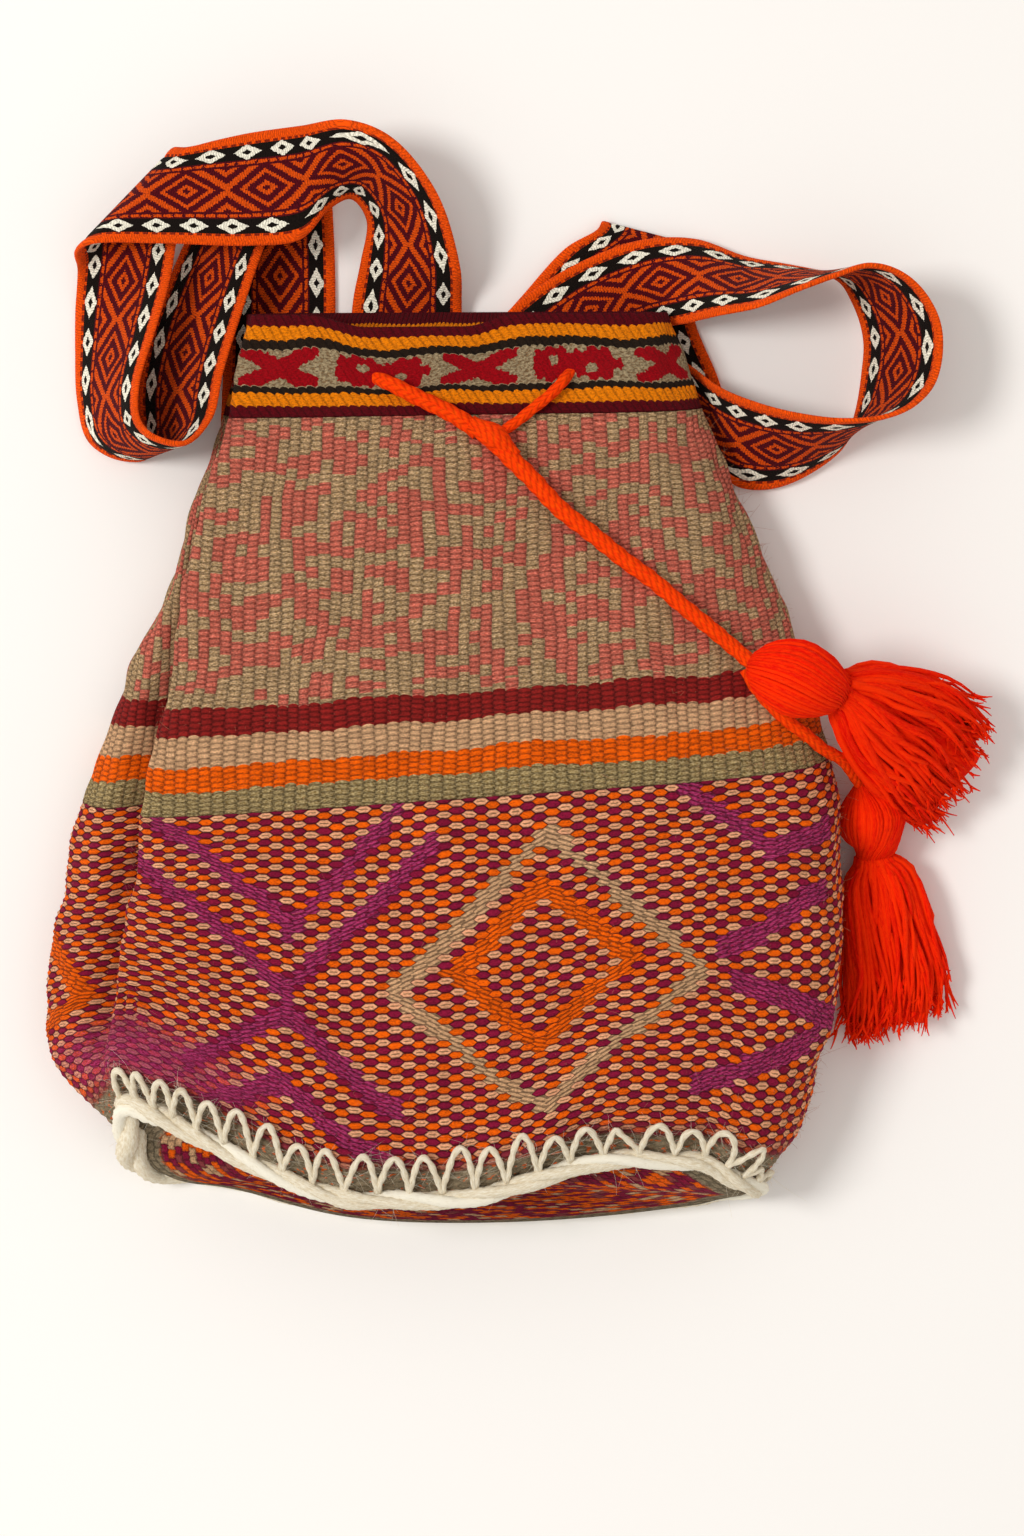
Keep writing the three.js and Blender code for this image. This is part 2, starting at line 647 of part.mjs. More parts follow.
const knotRoom = knotShape(CORD_GAP);
const tailSolid = toSolid(tube(tailRoute, TAIL, CORD_SIDES, 36));
const tailRoom = toSolid(tube(tailRoute, TAIL + 2 * CORD_GAP, CORD_SIDES, 36));
const upperRoom = toSolid(bundle(UPPER_TASSEL, CORD_GAP));
const lowerRoom = toSolid(bundle(LOWER_TASSEL, CORD_GAP));
const drawstring = toSolid(tube(drawstringRoute, CORD, CORD_SIDES, 62)).subtract(knotRoom);
const tail = tailSolid.subtract(knotRoom).subtract(upperRoom);
const tailEnd = toSolid(tube(tailEndRoute, CORD, CORD_SIDES, 24))
  .subtract(tailRoom).subtract(upperRoom).subtract(lowerRoom);
const band = toSolid(wall(BAND_FROM, TOP, 4, BAND_CLOTH, 0))
  .subtract(toSolid(tube(leftEntry, CORD + 4 * CORD_GAP, CORD_SIDES, 8)))
  .subtract(toSolid(tube(rightEntry, CORD + 4 * CORD_GAP, CORD_SIDES, 8)));

const colours = {
  pink: 0xd0705c,
  band: 0x74202a,
  base: 0x8a6a4a,
  yarn: 0xddd2bd,
  strap: 0xb4541c,
  cord: 0xf0480a,
};

function piece(name, geometry, colour) {
  const material = new THREE.MeshStandardMaterial({ color: colour, roughness: 0.95, name });
  const mesh = new THREE.Mesh(geometry, material);
  mesh.name = name;
  return mesh;
}

const backpack = new THREE.Group();
backpack.name = 'woven_backpack';
backpack.add(
  piece('body_cloth', wall(0, BAND_FROM, 15, CLOTH, SEAM_GAP), colours.pink),
  piece('mouth_band', fromSolid(band), colours.band),
  piece('base_panel', baseSheet(), colours.base),
  piece('seam_chain', seamChain(), colours.yarn),
  piece('seam_arches', seamArches(), colours.yarn),
  piece('left_strap', strap(LEFT_STRAP), colours.strap),
  piece('right_strap', strap(RIGHT_STRAP), colours.strap),
  piece('drawstring', fromSolid(drawstring), colours.cord),
  piece('drawstring_knot', fromSolid(knotShape(0)), colours.cord),
  piece('drawstring_tail', fromSolid(tail), colours.cord),
  piece('drawstring_tail_end', fromSolid(tailEnd), colours.cord),
  piece('upper_tassel', bundle(UPPER_TASSEL, 0), colours.cord),
  piece('upper_tassel_binding', bindingOf(UPPER_TASSEL), colours.cord),
  piece('lower_tassel', bundle(LOWER_TASSEL, 0), colours.cord),
  piece('lower_tassel_binding', bindingOf(LOWER_TASSEL), colours.cord),
);

export default backpack;
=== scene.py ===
import logging
import math
from dataclasses import dataclass, field
from enum import Enum
from typing import Sequence, Union

import bpy
import numpy as np
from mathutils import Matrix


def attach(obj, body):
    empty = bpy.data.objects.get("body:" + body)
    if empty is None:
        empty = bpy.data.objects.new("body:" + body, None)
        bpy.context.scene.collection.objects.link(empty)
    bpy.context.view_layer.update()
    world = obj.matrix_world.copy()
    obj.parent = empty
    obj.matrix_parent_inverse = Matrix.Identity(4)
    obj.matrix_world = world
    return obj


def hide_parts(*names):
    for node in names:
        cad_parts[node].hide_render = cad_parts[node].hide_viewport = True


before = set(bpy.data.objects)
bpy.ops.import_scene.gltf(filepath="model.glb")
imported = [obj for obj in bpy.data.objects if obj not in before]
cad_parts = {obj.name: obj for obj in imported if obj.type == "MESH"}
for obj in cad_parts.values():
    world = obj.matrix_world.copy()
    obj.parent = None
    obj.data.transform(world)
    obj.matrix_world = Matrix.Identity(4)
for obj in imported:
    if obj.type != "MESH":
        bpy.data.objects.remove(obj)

MM = 0.001
ROOT = "root"
WEAVE_MAP = "weave"
YARN_APART = 40.0
DULL_SPECULAR, SHEEN_ROUGH = 0.08, 0.6
LOG = logging.getLogger("backpack")
Array = np.ndarray
NO_TRIANGLES = np.empty((0, 3), int)


class Dye(Enum):
    """Wool colours, as sRGB bytes."""

    SAGE = (206, 172, 132)
    SAGE_DEEP = (146, 114, 72)
    DOT_BEIGE = (242, 172, 130)
    PINK = (214, 120, 100)
    GREY_GREEN = (186, 164, 118)
    MOSS = (128, 104, 58)
    PINK_DEEP = (188, 86, 68)
    STRIPE_MAROON = (140, 30, 26)
    BEIGE = (208, 162, 120)
    ORANGE = (242, 96, 0)
    PURPLE = (136, 18, 54)
    MAGENTA = (178, 56, 108)
    GROUND = (82, 6, 20)
    FELT = (146, 62, 64)
    FUZZ = (206, 150, 116)
    SLIT = (120, 88, 54)
    HEM = (142, 126, 100)
    BAND_MAROON = (90, 2, 14)
    YELLOW = (240, 130, 0)
    BLACK = (36, 24, 14)
    RED = (154, 0, 14)
    CREAM = (170, 150, 116)
    CORD = (255, 50, 0)
    # Deeper tone of the cord: partly its own tone, partly painted shade between its fibres.
    CORD_DEEP = (228, 8, 0)
    BRAID = (255, 80, 0)
    # Deeper tone of the braid: partly its own tone, partly painted shade between its fibres.
    BRAID_DEEP = (236, 40, 0)
    STRAP_ORANGE = (212, 74, 6)
    STRAP_MAROON = (80, 6, 18)
    STRAP_EDGE = (234, 78, 3)
    STRAP_BLACK = (22, 14, 10)
    WHITE = (240, 234, 214)
    STITCH = (246, 239, 220)
    # Deeper tone of the stitching yarn: partly its own tone, partly painted shade between its fibres.
    STITCH_DEEP = (216, 198, 164)
    FLOOR = (250, 247, 243)

    def linear(self) -> tuple[float, float, float, float]:
        """Gives the scene-linear colour by the sRGB curve.

        Returns:
            Red, green and blue, and full alpha.
        """
        part = np.array(self.value) / 255.0
        low = part / 12.92
        high = ((part + 0.055) / 1.055) ** 2.4
        return (*np.where(part <= 0.04045, low, high).tolist(), 1.0)


class Zone(Enum):
    """The two weaves of the bag's tube."""

    LOWER = "lower"
    UPPER = "upper"


def smooth(value: Array, low: float, high: float) -> Array:
    """Eases from 0 at low to 1 at high by 3s^2 - 2s^3.

    Args:
        value: Numbers to ease.
        low: Where the step starts.
        high: Where the step ends.

    Returns:
        The eased numbers.
    """
    share = np.clip((value - low) / (high - low), 0.0, 1.0)
    return share * share * (3.0 - 2.0 * share)


def unit(vectors: Array) -> Array:
    """Scales vectors along the last axis to length one."""
    return vectors / np.maximum(np.linalg.norm(vectors, axis=-1, keepdims=True), 1e-12)


def row_value(row: Array, place: Array) -> Array:
    """Reads a row of numbers between its entries by a uniform Catmull-Rom cubic.

    Args:
        row: The numbers at places 0, 1, 2 and so on.
        place: Where to read it.

    Returns:
        The value at each place.
    """
    last = len(row) - 1
    i = np.clip(np.floor(place).astype(int), 0, last - 1)
    f = place - i
    p0, p1 = row[np.maximum(i - 1, 0)], row[i]
    p2, p3 = row[i + 1], row[np.minimum(i + 2, last)]
    v0, v1 = (p2 - p0) / 2, (p3 - p1) / 2
    a = 2 * p1 - 2 * p2 + v0 + v1
    b = -3 * p1 + 3 * p2 - 2 * v0 - v1
    return ((a * f + b) * f + v0) * f + p1


def spline(p0: Array, p1: Array, p2: Array, p3: Array, f: Array) -> Array:
    """Centripetal Catmull-Rom between p1 and p2: each chord counts as the square root of its length.

    Args:
        p0: Point before.
        p1: Point at f = 0.
        p2: Point at f = 1.
        p3: Point after.
        f: Share of the way, without the points' last axis.

    Returns:
        The points at f.
    """
    d0, d1, d2 = (
        np.sqrt(np.maximum(np.linalg.norm(b - a, axis=-1, keepdims=True), 1e-8))
        for a, b in ((p0, p1), (p1, p2), (p2, p3))
    )
    t1 = ((p1 - p0) / d0 - (p2 - p0) / (d0 + d1) + (p2 - p1) / d1) * d1
    t2 = ((p2 - p1) / d1 - (p3 - p1) / (d1 + d2) + (p3 - p2) / d2) * d1
    f = f[..., None]
    return p1 + f * (t1 + f * ((-3 * p1 + 3 * p2 - 2 * t1 - t2) + f * (2 * p1 - 2 * p2 + t1 + t2)))


def open_curve(points: Array, shares: Array) -> Array:
    """Points along an open centripetal curve, its ends carried on straight.

    Args:
        points: The points that it goes through.
        shares: Places from 0 to 1, even between the points.

    Returns:
        One point for each share.
    """
    full = np.vstack([2 * points[:1] - points[1:2], points, 2 * points[-1:] - points[-2:-1]])
    place = np.clip(shares, 0, 1) * (len(points) - 1)
    i = np.minimum(np.floor(place).astype(int), len(points) - 2)
    return spline(full[i], full[i + 1], full[i + 2], full[i + 3], place - i)


def between(low: Array, high: Array, share: Array | float) -> Array:
    """The value a share of the way from low to high."""
    return low + share * (high - low)


def bell(value: Array, middle: float, reach: float) -> Array:
    """Bell of height one: e to the power of minus the square of the distance from a middle over a reach."""
    return np.exp(-(((value - middle) / reach) ** 2))


def lengths(points: Array) -> Array:
    """Length run along each path up to each of its points. The last two axes are the points and xyz."""
    steps = np.linalg.norm(np.diff(points, axis=-2), axis=-1)
    return np.concatenate([np.zeros_like(steps[..., :1]), np.cumsum(steps, axis=-1)], axis=-1)


def even_path(points: Array, step: float) -> Array:
    """Places points along a path at one even distance.

    Args:
        points: Points that the path's smooth curve goes through.
        step: Wanted distance between two points.

    Returns:
        The even points, both ends kept.
    """
    fine = open_curve(points, np.linspace(0, 1, 40 * len(points)))
    run = lengths(fine)
    want = np.linspace(0, run[-1], max(int(round(run[-1] / step)), 4) + 1)
    return np.stack([np.interp(want, run, fine[:, k]) for k in range(3)], axis=1)


def wander(u: Array, v: Array, seed: int, reach: float) -> Array:
    """Smooth unevenness of about one: eight sines of random heading and of wavelengths about a reach.

    Args:
        u: Millimetres across.
        v: Millimetres up.
        seed: Which unevenness.
        reach: Typical wavelength.

    Returns:
        The unevenness at each place.
    """
    rng = np.random.default_rng(seed)
    heading, phase = rng.uniform(0, 2 * np.pi, (2, 8))
    wave = 2 * np.pi / (reach * rng.uniform(0.6, 1.7, 8))
    at = u[..., None] * wave * np.cos(heading) + v[..., None] * wave * np.sin(heading) + phase
    return np.sin(at).sum(axis=-1) / 2.0


@dataclass(frozen=True)
class BagForm:
    """The bag's tube from the base seam to the top of its mouth, in millimetres.

    A place on it is a turn, the share of the way round from the middle of the front toward +X, and a
    station along it, from 0 at the seam to 10 at the top.
    """

    y: tuple = (-200, -177, -148, -109, -64, -18, 30, 73, 119, 159, 206)
    slope: tuple = (0, 0.01, 0.02, 0.04, 0.06, 0.07, 0.07, 0.055, 0.035, 0.015, 0.005)
    fold: tuple = (-148, -153, -155, -154, -149, -143, -134, -126, -116, -104, -94)
    left: tuple = (-147, -168, -189, -190, -184, -173, -155, -136, -120, -107, -96)
    right: tuple = (138, 160, 169, 178, 180, 174, 159, 147, 129, 115, 99)
    front: tuple = (58, 68, 71, 70, 68, 63, 56, 50, 44, 39, 35)
    back: tuple = (9.5, 6.5, 1, -2, -2, -2, -2, 0, 5, 9.6, 9.6)
    lean: tuple = (-12, -3, 4, 10, 14, 16, 16, 13, 9, 5, 3)
    tuck: tuple = (0, -4, -4, 9, 14, 14, 12, 8, 5, 3, 2)
    deep: tuple = (0, 0, 0.05, 0.15, 0.2, 0.21, 0.2, 0.15, 0.08, 0, 0)
    seam: tuple = (1, 0.75, 0.42, 0.14, 0, 0, 0, 0, 0, 0, 0)
    dip: tuple = (0, 0, 0, 0, 0, 0, 0, 0, 0, 0, 1)
    one_strap: float = 3.5
    mouth_lift: float = 9.6
    band_from: float = 9.0
    top: float = 10.0
    plumb: float = 8.0
    widest: float = 5.0
    left_climb: float = 50.0
    right_climb: float = 19.0
    right_fall: float = 13.0
    mouth_sag: float = 6.0
    back_climb: float = 14.0
    back_lift: float = 9.0
    swell: float = 5.0
    valley: float = 9.0
    samples: int = 1201
    front_turn: float = 0.117
    edge_turn: float = 206 / 1200
    drawn_in: float = 0.25

    def at(self, name: str, station: Array) -> Array:
        """Reads one of the station rows at a station."""
        return row_value(np.array(getattr(self, name), float), station)

    def outline(self, turn: Array, station: Array, inset: float) -> Array:
        """Cross-section of the tube: a closed centripetal curve through thirteen points.

        Args:
            turn: Shares of the way round.
            station: Stations, of the same shape.
            inset: How far inside the outer face.

        Returns:
            Points (x, z), with the shape of turn and a last axis of two.
        """
        s_fold, s_left, s_right = (self.at(k, station) for k in ("fold", "left", "right"))
        s_front, s_back, tuck, deep = (self.at(k, station) for k in ("front", "back", "tuck", "deep"))
        fold, left, right = s_fold + inset, s_left + inset, s_right - inset
        front, back = s_front - inset, s_back + inset
        # From the front's middle round the right side, the back and the left side to the pleat.
        rows = [
            (between(fold, right, 0.5), front + 1.5),
            (between(fold, right, 0.8), front),
            (right - 11, between(back, front, 0.8)),
            (right, between(back, front, 0.42)),
            (right - 13, between(back, front, 0.05)),
            (between(fold, right, 0.66), back - 1.5),
            (between(fold, right, 0.33), back - 1.5),
            (left + 13, between(back, front, 0.05)),
            (left, between(back, front, 0.3)),
            (between(left, fold, 0.42), between(s_back, s_front, 0.54 + 0.2 * deep) - 0.9 * inset),
            (s_fold + tuck + 2 * inset, between(s_back, s_front, 0.68 - deep) - 0.4 * inset),
            (s_fold + 1.2 * inset, between(s_back, s_front, 0.86) - 0.2 * inset),
            (between(fold, right, 0.16), front - 0.5),
        ]
        ring = np.stack([np.stack(row, axis=-1) for row in rows], axis=0)
        place = np.mod(turn, 1.0) * len(rows)
        i = np.floor(place).astype(int) % len(rows)
        grid = np.indices(turn.shape)
        p = [ring[((i + k) % len(rows), *grid)] for k in (-1, 0, 1, 2)]
        return spline(*p, place - np.floor(place))

    def spots(self, turn: Array, station: Array, inset: float = 0.0) -> Array:
        """Points of the tube. Each ring leans and sags as a whole, and rests on what lies under the bag.

        The seam climbs to both corners, the mouth's rim sags in its middle, and a swell and a valley crease
        the cloth beside the lower left corner.

        Args:
            turn: Shares of the way round.
            station: Stations, of the same shape.
            inset: How far inside the outer face.

        Returns:
            Points in millimetres, with a last axis of three.
        """
        turn, station = np.broadcast_arrays(np.asarray(turn, float), np.asarray(station, float))
        outside = self.outline(turn, station, 0.0)
        ring = outside if inset == 0 else self.outline(turn, station, inset)
        x, z = outside[..., 0], outside[..., 1]
        front, back, seam = (self.at(k, station) for k in ("front", "back", "seam"))
        share = np.clip((z - back) / (front - back), 0, 1)
        y = self.at("y", station) + self.at("slope", station) * x + self.at("lean", station) * (1 - share)
        climb = self.left_climb * np.clip((-45 - x) / 103, 0, 1) ** 1.35
        climb += self.right_climb * smooth(x, -5, 80) - self.right_fall * smooth(x, 112, 142)
        sag = self.mouth_sag * smooth(x, -70, -40) * (1 - smooth(x, 5, 30))
        y = y + share * (seam * climb - self.at("dip", station) * sag)
        y = y + seam * (1 - share) * (self.back_climb * (x / 150) ** 2 + self.back_lift * bell(x, -115, 45))
        swell = self.swell * bell(x, -134, 24) * bell(y, -140, 13)
        valley = self.valley * bell(x, -146, 26) * bell(y, -113, 11)
        crease = smooth(share, 0.85, 0.98) * (swell - valley)
        rest = np.maximum(self.one_strap * smooth(np.abs(x), 42, 52), self.mouth_lift * smooth(y, 70, 140))
        return np.stack([ring[..., 0], y, np.maximum(ring[..., 1] + crease, rest + inset)], axis=-1)

    def climb(self, turn: Array) -> Array:
        """How far the seam stands above its place at the front's middle, without its lean.

        Args:
            turn: Shares of the way round.

        Returns:
            Millimetres along Y.
        """
        foot = np.zeros_like(turn)
        ring = self.outline(turn, foot, 0.0)
        share = np.clip((ring[..., 1] - self.back[0]) / (self.front[0] - self.back[0]), 0, 1)
        level = self.y[0] + self.lean[0] * (1 - share)
        return self.spots(turn, foot)[..., 1] - level

    def outward(self, turn: Array, station: Array) -> Array:
        """Directions away from the cloth, from the cross product of its two tangents.

        Args:
            turn: Shares of the way round.
            station: Stations, of the same shape.

        Returns:
            Unit vectors.
        """
        turn, station = np.broadcast_arrays(np.asarray(turn, float), np.asarray(station, float))
        low, high = np.maximum(station - 0.05, 0), np.minimum(station + 0.05, self.top)
        around = self.spots(turn + 0.008, station) - self.spots(turn - 0.008, station)
        return unit(np.cross(around, self.spots(turn, high) - self.spots(turn, low)))

    def above(self, turn: Array, station: Array, height: float) -> Array:
        """Points at a height above the cloth."""
        return self.spots(turn, station) + height * self.outward(turn, station)

    def rings(self, station: Array) -> tuple[Array, Array]:
        """Arc length round the tube at each station, zero on a straight line up the front.

        Args:
            station: Stations, one row each.

        Returns:
            Turns from -0.5 to 0.5, and the millimetres at each, one row for each station.
        """
        turn = np.linspace(-0.5, 0.5, self.samples)
        ring = self.spots(turn[None], np.asarray(station, float)[:, None])
        run = lengths(ring)
        front = np.abs(turn) < self.front_turn
        zero = [np.interp(self.plumb, row[front, 0], mm[front]) for row, mm in zip(ring, run)]
        return turn, run - np.array(zero)[:, None]

    def columns(self, u: Array, station: Array) -> Array:
        """Turns of the woven columns at each station.

        The columns run straight up the front, drawn in by a quarter of its narrowing, and crowd together
        round the sides and back as far as the tube's girth there asks.

        Args:
            u: Millimetres of the columns at the widest stripe, zero at the front's middle.
            station: Stations, one row each.

        Returns:
            Turns, with a row for each station and a column for each u.
        """
        turn, run = self.rings(station)
        _, wide = self.rings(np.array([self.widest]))
        end = self.samples - 1
        bend = round((0.5 + self.edge_turn) * end)
        right = u >= 0
        far = np.where(right, wide[0, -1], -wide[0, 0])
        arc = np.where(right, run[:, -1:], -run[:, :1])
        edge, edge_wide = (np.where(right, r[:, [bend]], -r[:, [end - bend]]) for r in (run, wide))
        scale = 1 - self.drawn_in * (1 - edge / edge_wide)
        near = np.abs(u) * scale
        past = edge + (np.abs(u) - edge / scale) * (arc - edge) / (far - edge / scale)
        at = np.where(right, 1.0, -1.0) * np.where(near < edge, near, past)
        return np.stack([np.interp(row, mm, turn) for row, mm in zip(at, run)])

    def height(self) -> tuple[Array, Array]:
        """Weave coordinate up the bag: arc length along the middle of the front from the seam.

        Returns:
            Stations and the millimetres at each.
        """
        station = np.linspace(0, self.top, 1001)
        return station, lengths(self.spots(np.zeros_like(station), station))


FORM = BagForm()


class Fabric:
    """Puts numpy surfaces into Blender meshes."""

    @staticmethod
    def mesh(name: str, verts: Array, quads: Array, uvs: Array | None = None,
             tris: Array = NO_TRIANGLES) -> bpy.types.Object:
        """Makes an object at the origin from whole arrays.

        Args:
            name: Name of the piece.
            verts: Points in millimetres, one row each.
            quads: Corner numbers of the four-sided faces.
            uvs: Weave coordinates in millimetres for each corner of each four-sided face.
            tris: Corner numbers of the triangles, which have no weave of their own.

        Returns:
            The linked object, smooth-shaded.
        """
        corners = np.concatenate([quads.ravel(), tris.ravel()])
        starts = np.concatenate([np.arange(len(quads)) * 4, quads.size + np.arange(len(tris)) * 3])
        data = bpy.data.meshes.new(name)
        data.vertices.add(len(verts))
        data.vertices.foreach_set("co", (verts * MM).astype(np.float32).ravel())
        data.loops.add(len(corners))
        data.loops.foreach_set("vertex_index", corners.astype(np.int32))
        data.polygons.add(len(starts))
        data.polygons.foreach_set("loop_start", starts.astype(np.int32))
        data.polygons.foreach_set("use_smooth", np.ones(len(starts), dtype=bool))
        if uvs is not None:
            layer = data.uv_layers.new(name=WEAVE_MAP)
            full = np.concatenate([uvs.reshape(-1, 2), np.zeros((tris.size, 2))]) * MM
            layer.data.foreach_set("uv", full.astype(np.float32).ravel())
        data.update(calc_edges=True)
        data.validate()
        piece = bpy.data.objects.new(name, data)
        bpy.context.scene.collection.objects.link(piece)
        return piece

    @staticmethod
    def quads(rows: int, cols: int, loop_rows: bool = False) -> tuple[Array, Array]:
        """Corner numbers of the four-sided faces of a grid whose last column joins its first.

        Args:
            rows: Rows of points.
            cols: Points in a row.
            loop_rows: Whether the last row joins the first too.

        Returns:
            Faces by point number, and the same by unwrapped row and column.
        """
        r, c = np.meshgrid(np.arange(rows if loop_rows else rows - 1), np.arange(cols), indexing="ij")
        rr = np.stack([r, r, r + 1, r + 1], axis=-1).reshape(-1, 4)
        cc = np.stack([c, c + 1, c + 1, c], axis=-1).reshape(-1, 4)
        return (rr % rows) * cols + cc % cols, np.stack([rr, cc], axis=-1)

    @staticmethod
    def frames(paths: Array) -> tuple[Array, Array]:
        """Two directions across each path, carried along it without twist.

        The first direction is projected off each new tangent in turn, all paths at once.

        Args:
            paths: Points, with axes path, step and xyz.

        Returns:
            The two unit directions at every point.
        """
        along = unit(np.gradient(paths, axis=1))
        start = np.where(np.abs(along[:, :1, 2:]) < 0.9, [[[0.0, 0.0, 1.0]]], [[[1.0, 0.0, 0.0]]])
        side = np.empty_like(along)
        held = start[:, 0]
        for step in range(paths.shape[1]):
            tangent = along[:, step]
            held = unit(held - np.sum(held * tangent, axis=-1, keepdims=True) * tangent)
            side[:, step] = held
        return side, np.cross(along, side)

    @classmethod
    def yarns(cls, name: str, paths: Array, radius: Array, sides: int, twist: float = 0.0,
              plies: int = 0, depth: float = 0.0) -> bpy.types.Object:
        """Sweeps round yarns along paths, with rounded plies laid in a helix, as one mesh.

        The radius is r(1 - depth (1 - |cos(plies/2 (a + twist s))|)) at angle a and run s.

        Args:
            name: Name of the piece.
            paths: Points in millimetres, with axes path, step and xyz.
            radius: Radius at each step, or for each path and step.
            sides: Points round the yarn.
            twist: Turns of the plies per millimetre.
            plies: Number of plies, 0 for a plain round yarn.
            depth: Depth of the groove between plies, as a share of the radius.

        Returns:
            The object, with weave coordinates round and along.
        """
        count, steps = paths.shape[:2]
        side, other = cls.frames(paths)
        angle = np.linspace(0, 2 * np.pi, sides, endpoint=False)
        run = lengths(paths)
        r = np.broadcast_to(radius, (count, steps))[..., None]
        if plies:
            lay = 0.5 * plies * (angle + 2 * np.pi * twist * run[..., None])
            r = r * (1 - depth * (1 - np.abs(np.cos(lay))))
        ring = side[:, :, None] * np.cos(angle)[:, None] + other[:, :, None] * np.sin(angle)[:, None]
        girth = np.arange(sides + 1) * (2 * np.pi / sides) * np.mean(radius)
        u = girth + YARN_APART * np.arange(count)[:, None, None]
        return cls.lofts(name, paths[:, :, None] + r[..., None] * ring, u, run[..., None])

    @classmethod
    def lofts(cls, name: str, grids: Array, u: Array, v: Array) -> bpy.types.Object:
        """Tubes of rings, each closed at both ends by a fan of triangles, as one mesh.

        Args:
            name: Name of the piece.
            grids: Points in millimetres, with axes tube, ring, place round it and xyz.
            u: Weave millimetres round each tube, broadcast over tubes, rings and one place more.
            v: Weave millimetres along each tube, broadcast likewise.

        Returns:
            The object.
        """
        count, rows, cols = grids.shape[:3]
        faces, place = cls.quads(rows, cols)
        first = np.arange(count)[:, None] * rows * cols
        last = first + (rows - 1) * cols
        k = np.arange(cols)
        after = (k + 1) % cols
        hubs = np.repeat(grids[..., 0].size + 2 * np.arange(count)[:, None], cols, axis=1)
        low = np.stack([hubs, first + after, first + k], axis=-1)
        high = np.stack([hubs + 1, last + k, last + after], axis=-1)
        points = np.concatenate([grids.reshape(-1, 3), grids[:, [0, -1]].mean(axis=2).reshape(-1, 3)])
        spread = [np.broadcast_to(way, (count, rows, cols + 1)) for way in (u, v)]
        uvs = np.stack([way[:, place[..., 0], place[..., 1]] for way in spread], axis=-1)
        return cls.mesh(name, points, (faces + first[..., None]).reshape(-1, 4), uvs,
                        np.concatenate([low, high]).reshape(-1, 3))


class Term:
    """A number on a shader socket. Arithmetic with it adds Math nodes."""

    def __init__(self, loom: "Loom", socket: bpy.types.NodeSocket) -> None:
        """Keeps the socket and the loom whose nodes it belongs to."""
        self.loom = loom
        self.socket = socket

    def math(self, operation: str, *others: "Term | float", flip: bool = False) -> "Term":
        """Adds one Math node.

        Args:
            operation: The node's operation.
            others: Its other values.
            flip: Whether this term comes last.

        Returns:
            The result.
        """
        values = [*others, self] if flip else [self, *others]
        made = self.loom.node("ShaderNodeMath", {"operation": operation}, dict(enumerate(values)))
        return Term(self.loom, made.outputs[0])

    def __add__(self, other: "Term | float") -> "Term":
        """Sum."""
        return self.math("ADD", other)

    __radd__ = __add__

    def __sub__(self, other: "Term | float") -> "Term":
        """Difference."""
        return self.math("SUBTRACT", other)

    def __rsub__(self, other: float) -> "Term":
        """Difference from a number."""
        return self.math("SUBTRACT", other, flip=True)

    def __mul__(self, other: "Term | float") -> "Term":
        """Product."""
        return self.math("MULTIPLY", other)

    __rmul__ = __mul__

    def __truediv__(self, other: "Term | float") -> "Term":
        """Quotient."""
        return self.math("DIVIDE", other)

    def __rtruediv__(self, other: float) -> "Term":
        """Quotient of a number."""
        return self.math("DIVIDE", other, flip=True)

    def __mod__(self, other: "Term | float") -> "Term":
        """Remainder that is never negative."""
        return self.math("FLOORED_MODULO", other)

    def __rmod__(self, other: float) -> "Term":
        """Remainder of a number, never negative."""
        return self.math("FLOORED_MODULO", other, flip=True)

    def __lt__(self, other: "Term | float") -> "Term":
        """One where smaller, zero elsewhere."""
        return self.math("LESS_THAN", other)

    def __gt__(self, other: "Term | float") -> "Term":
        """One where larger, zero elsewhere."""
        return self.math("GREATER_THAN", other)

    def __abs__(self) -> "Term":
        """Size without sign."""
        return self.math("ABSOLUTE")

    def floor(self) -> "Term":
        """Whole part."""
        return self.math("FLOOR")

    def fract(self) -> "Term":
        """Part after the whole."""
        return self.math("FRACT")

    def least(self, other: "Term | float") -> "Term":
        """Smaller of two."""
        return self.math("MINIMUM", other)

    def most(self, other: "Term | float") -> "Term":
        """Larger of two."""
        return self.math("MAXIMUM", other)

    def root(self) -> "Term":
        """Square root."""
        return self.math("SQRT")

    def wave(self) -> "Term":
        """Sine."""
        return self.math("SINE")

    def ease(self, low: float, high: float) -> "Term":
        """Eases from 0 at low to 1 at high."""
        made = self.loom.node("ShaderNodeMapRange", {"interpolation_type": "SMOOTHSTEP"},
                              {"Value": self, "From Min": low, "From Max": high})
        return Term(self.loom, made.outputs[0])

    def span(self, other: "Term") -> "Term":
        """Distance over two ways: the root of the sum of their squares."""
        return (self * self + other * other).root()

    def hump(self) -> "Term":
        """Round hump over each unit: 1 - (2f - 1)^2 of the part after the whole."""
        edge = self.fract() * 2.0 - 1.0
        return 1.0 - edge * edge


Paint = Union[bpy.types.NodeSocket, Dye]


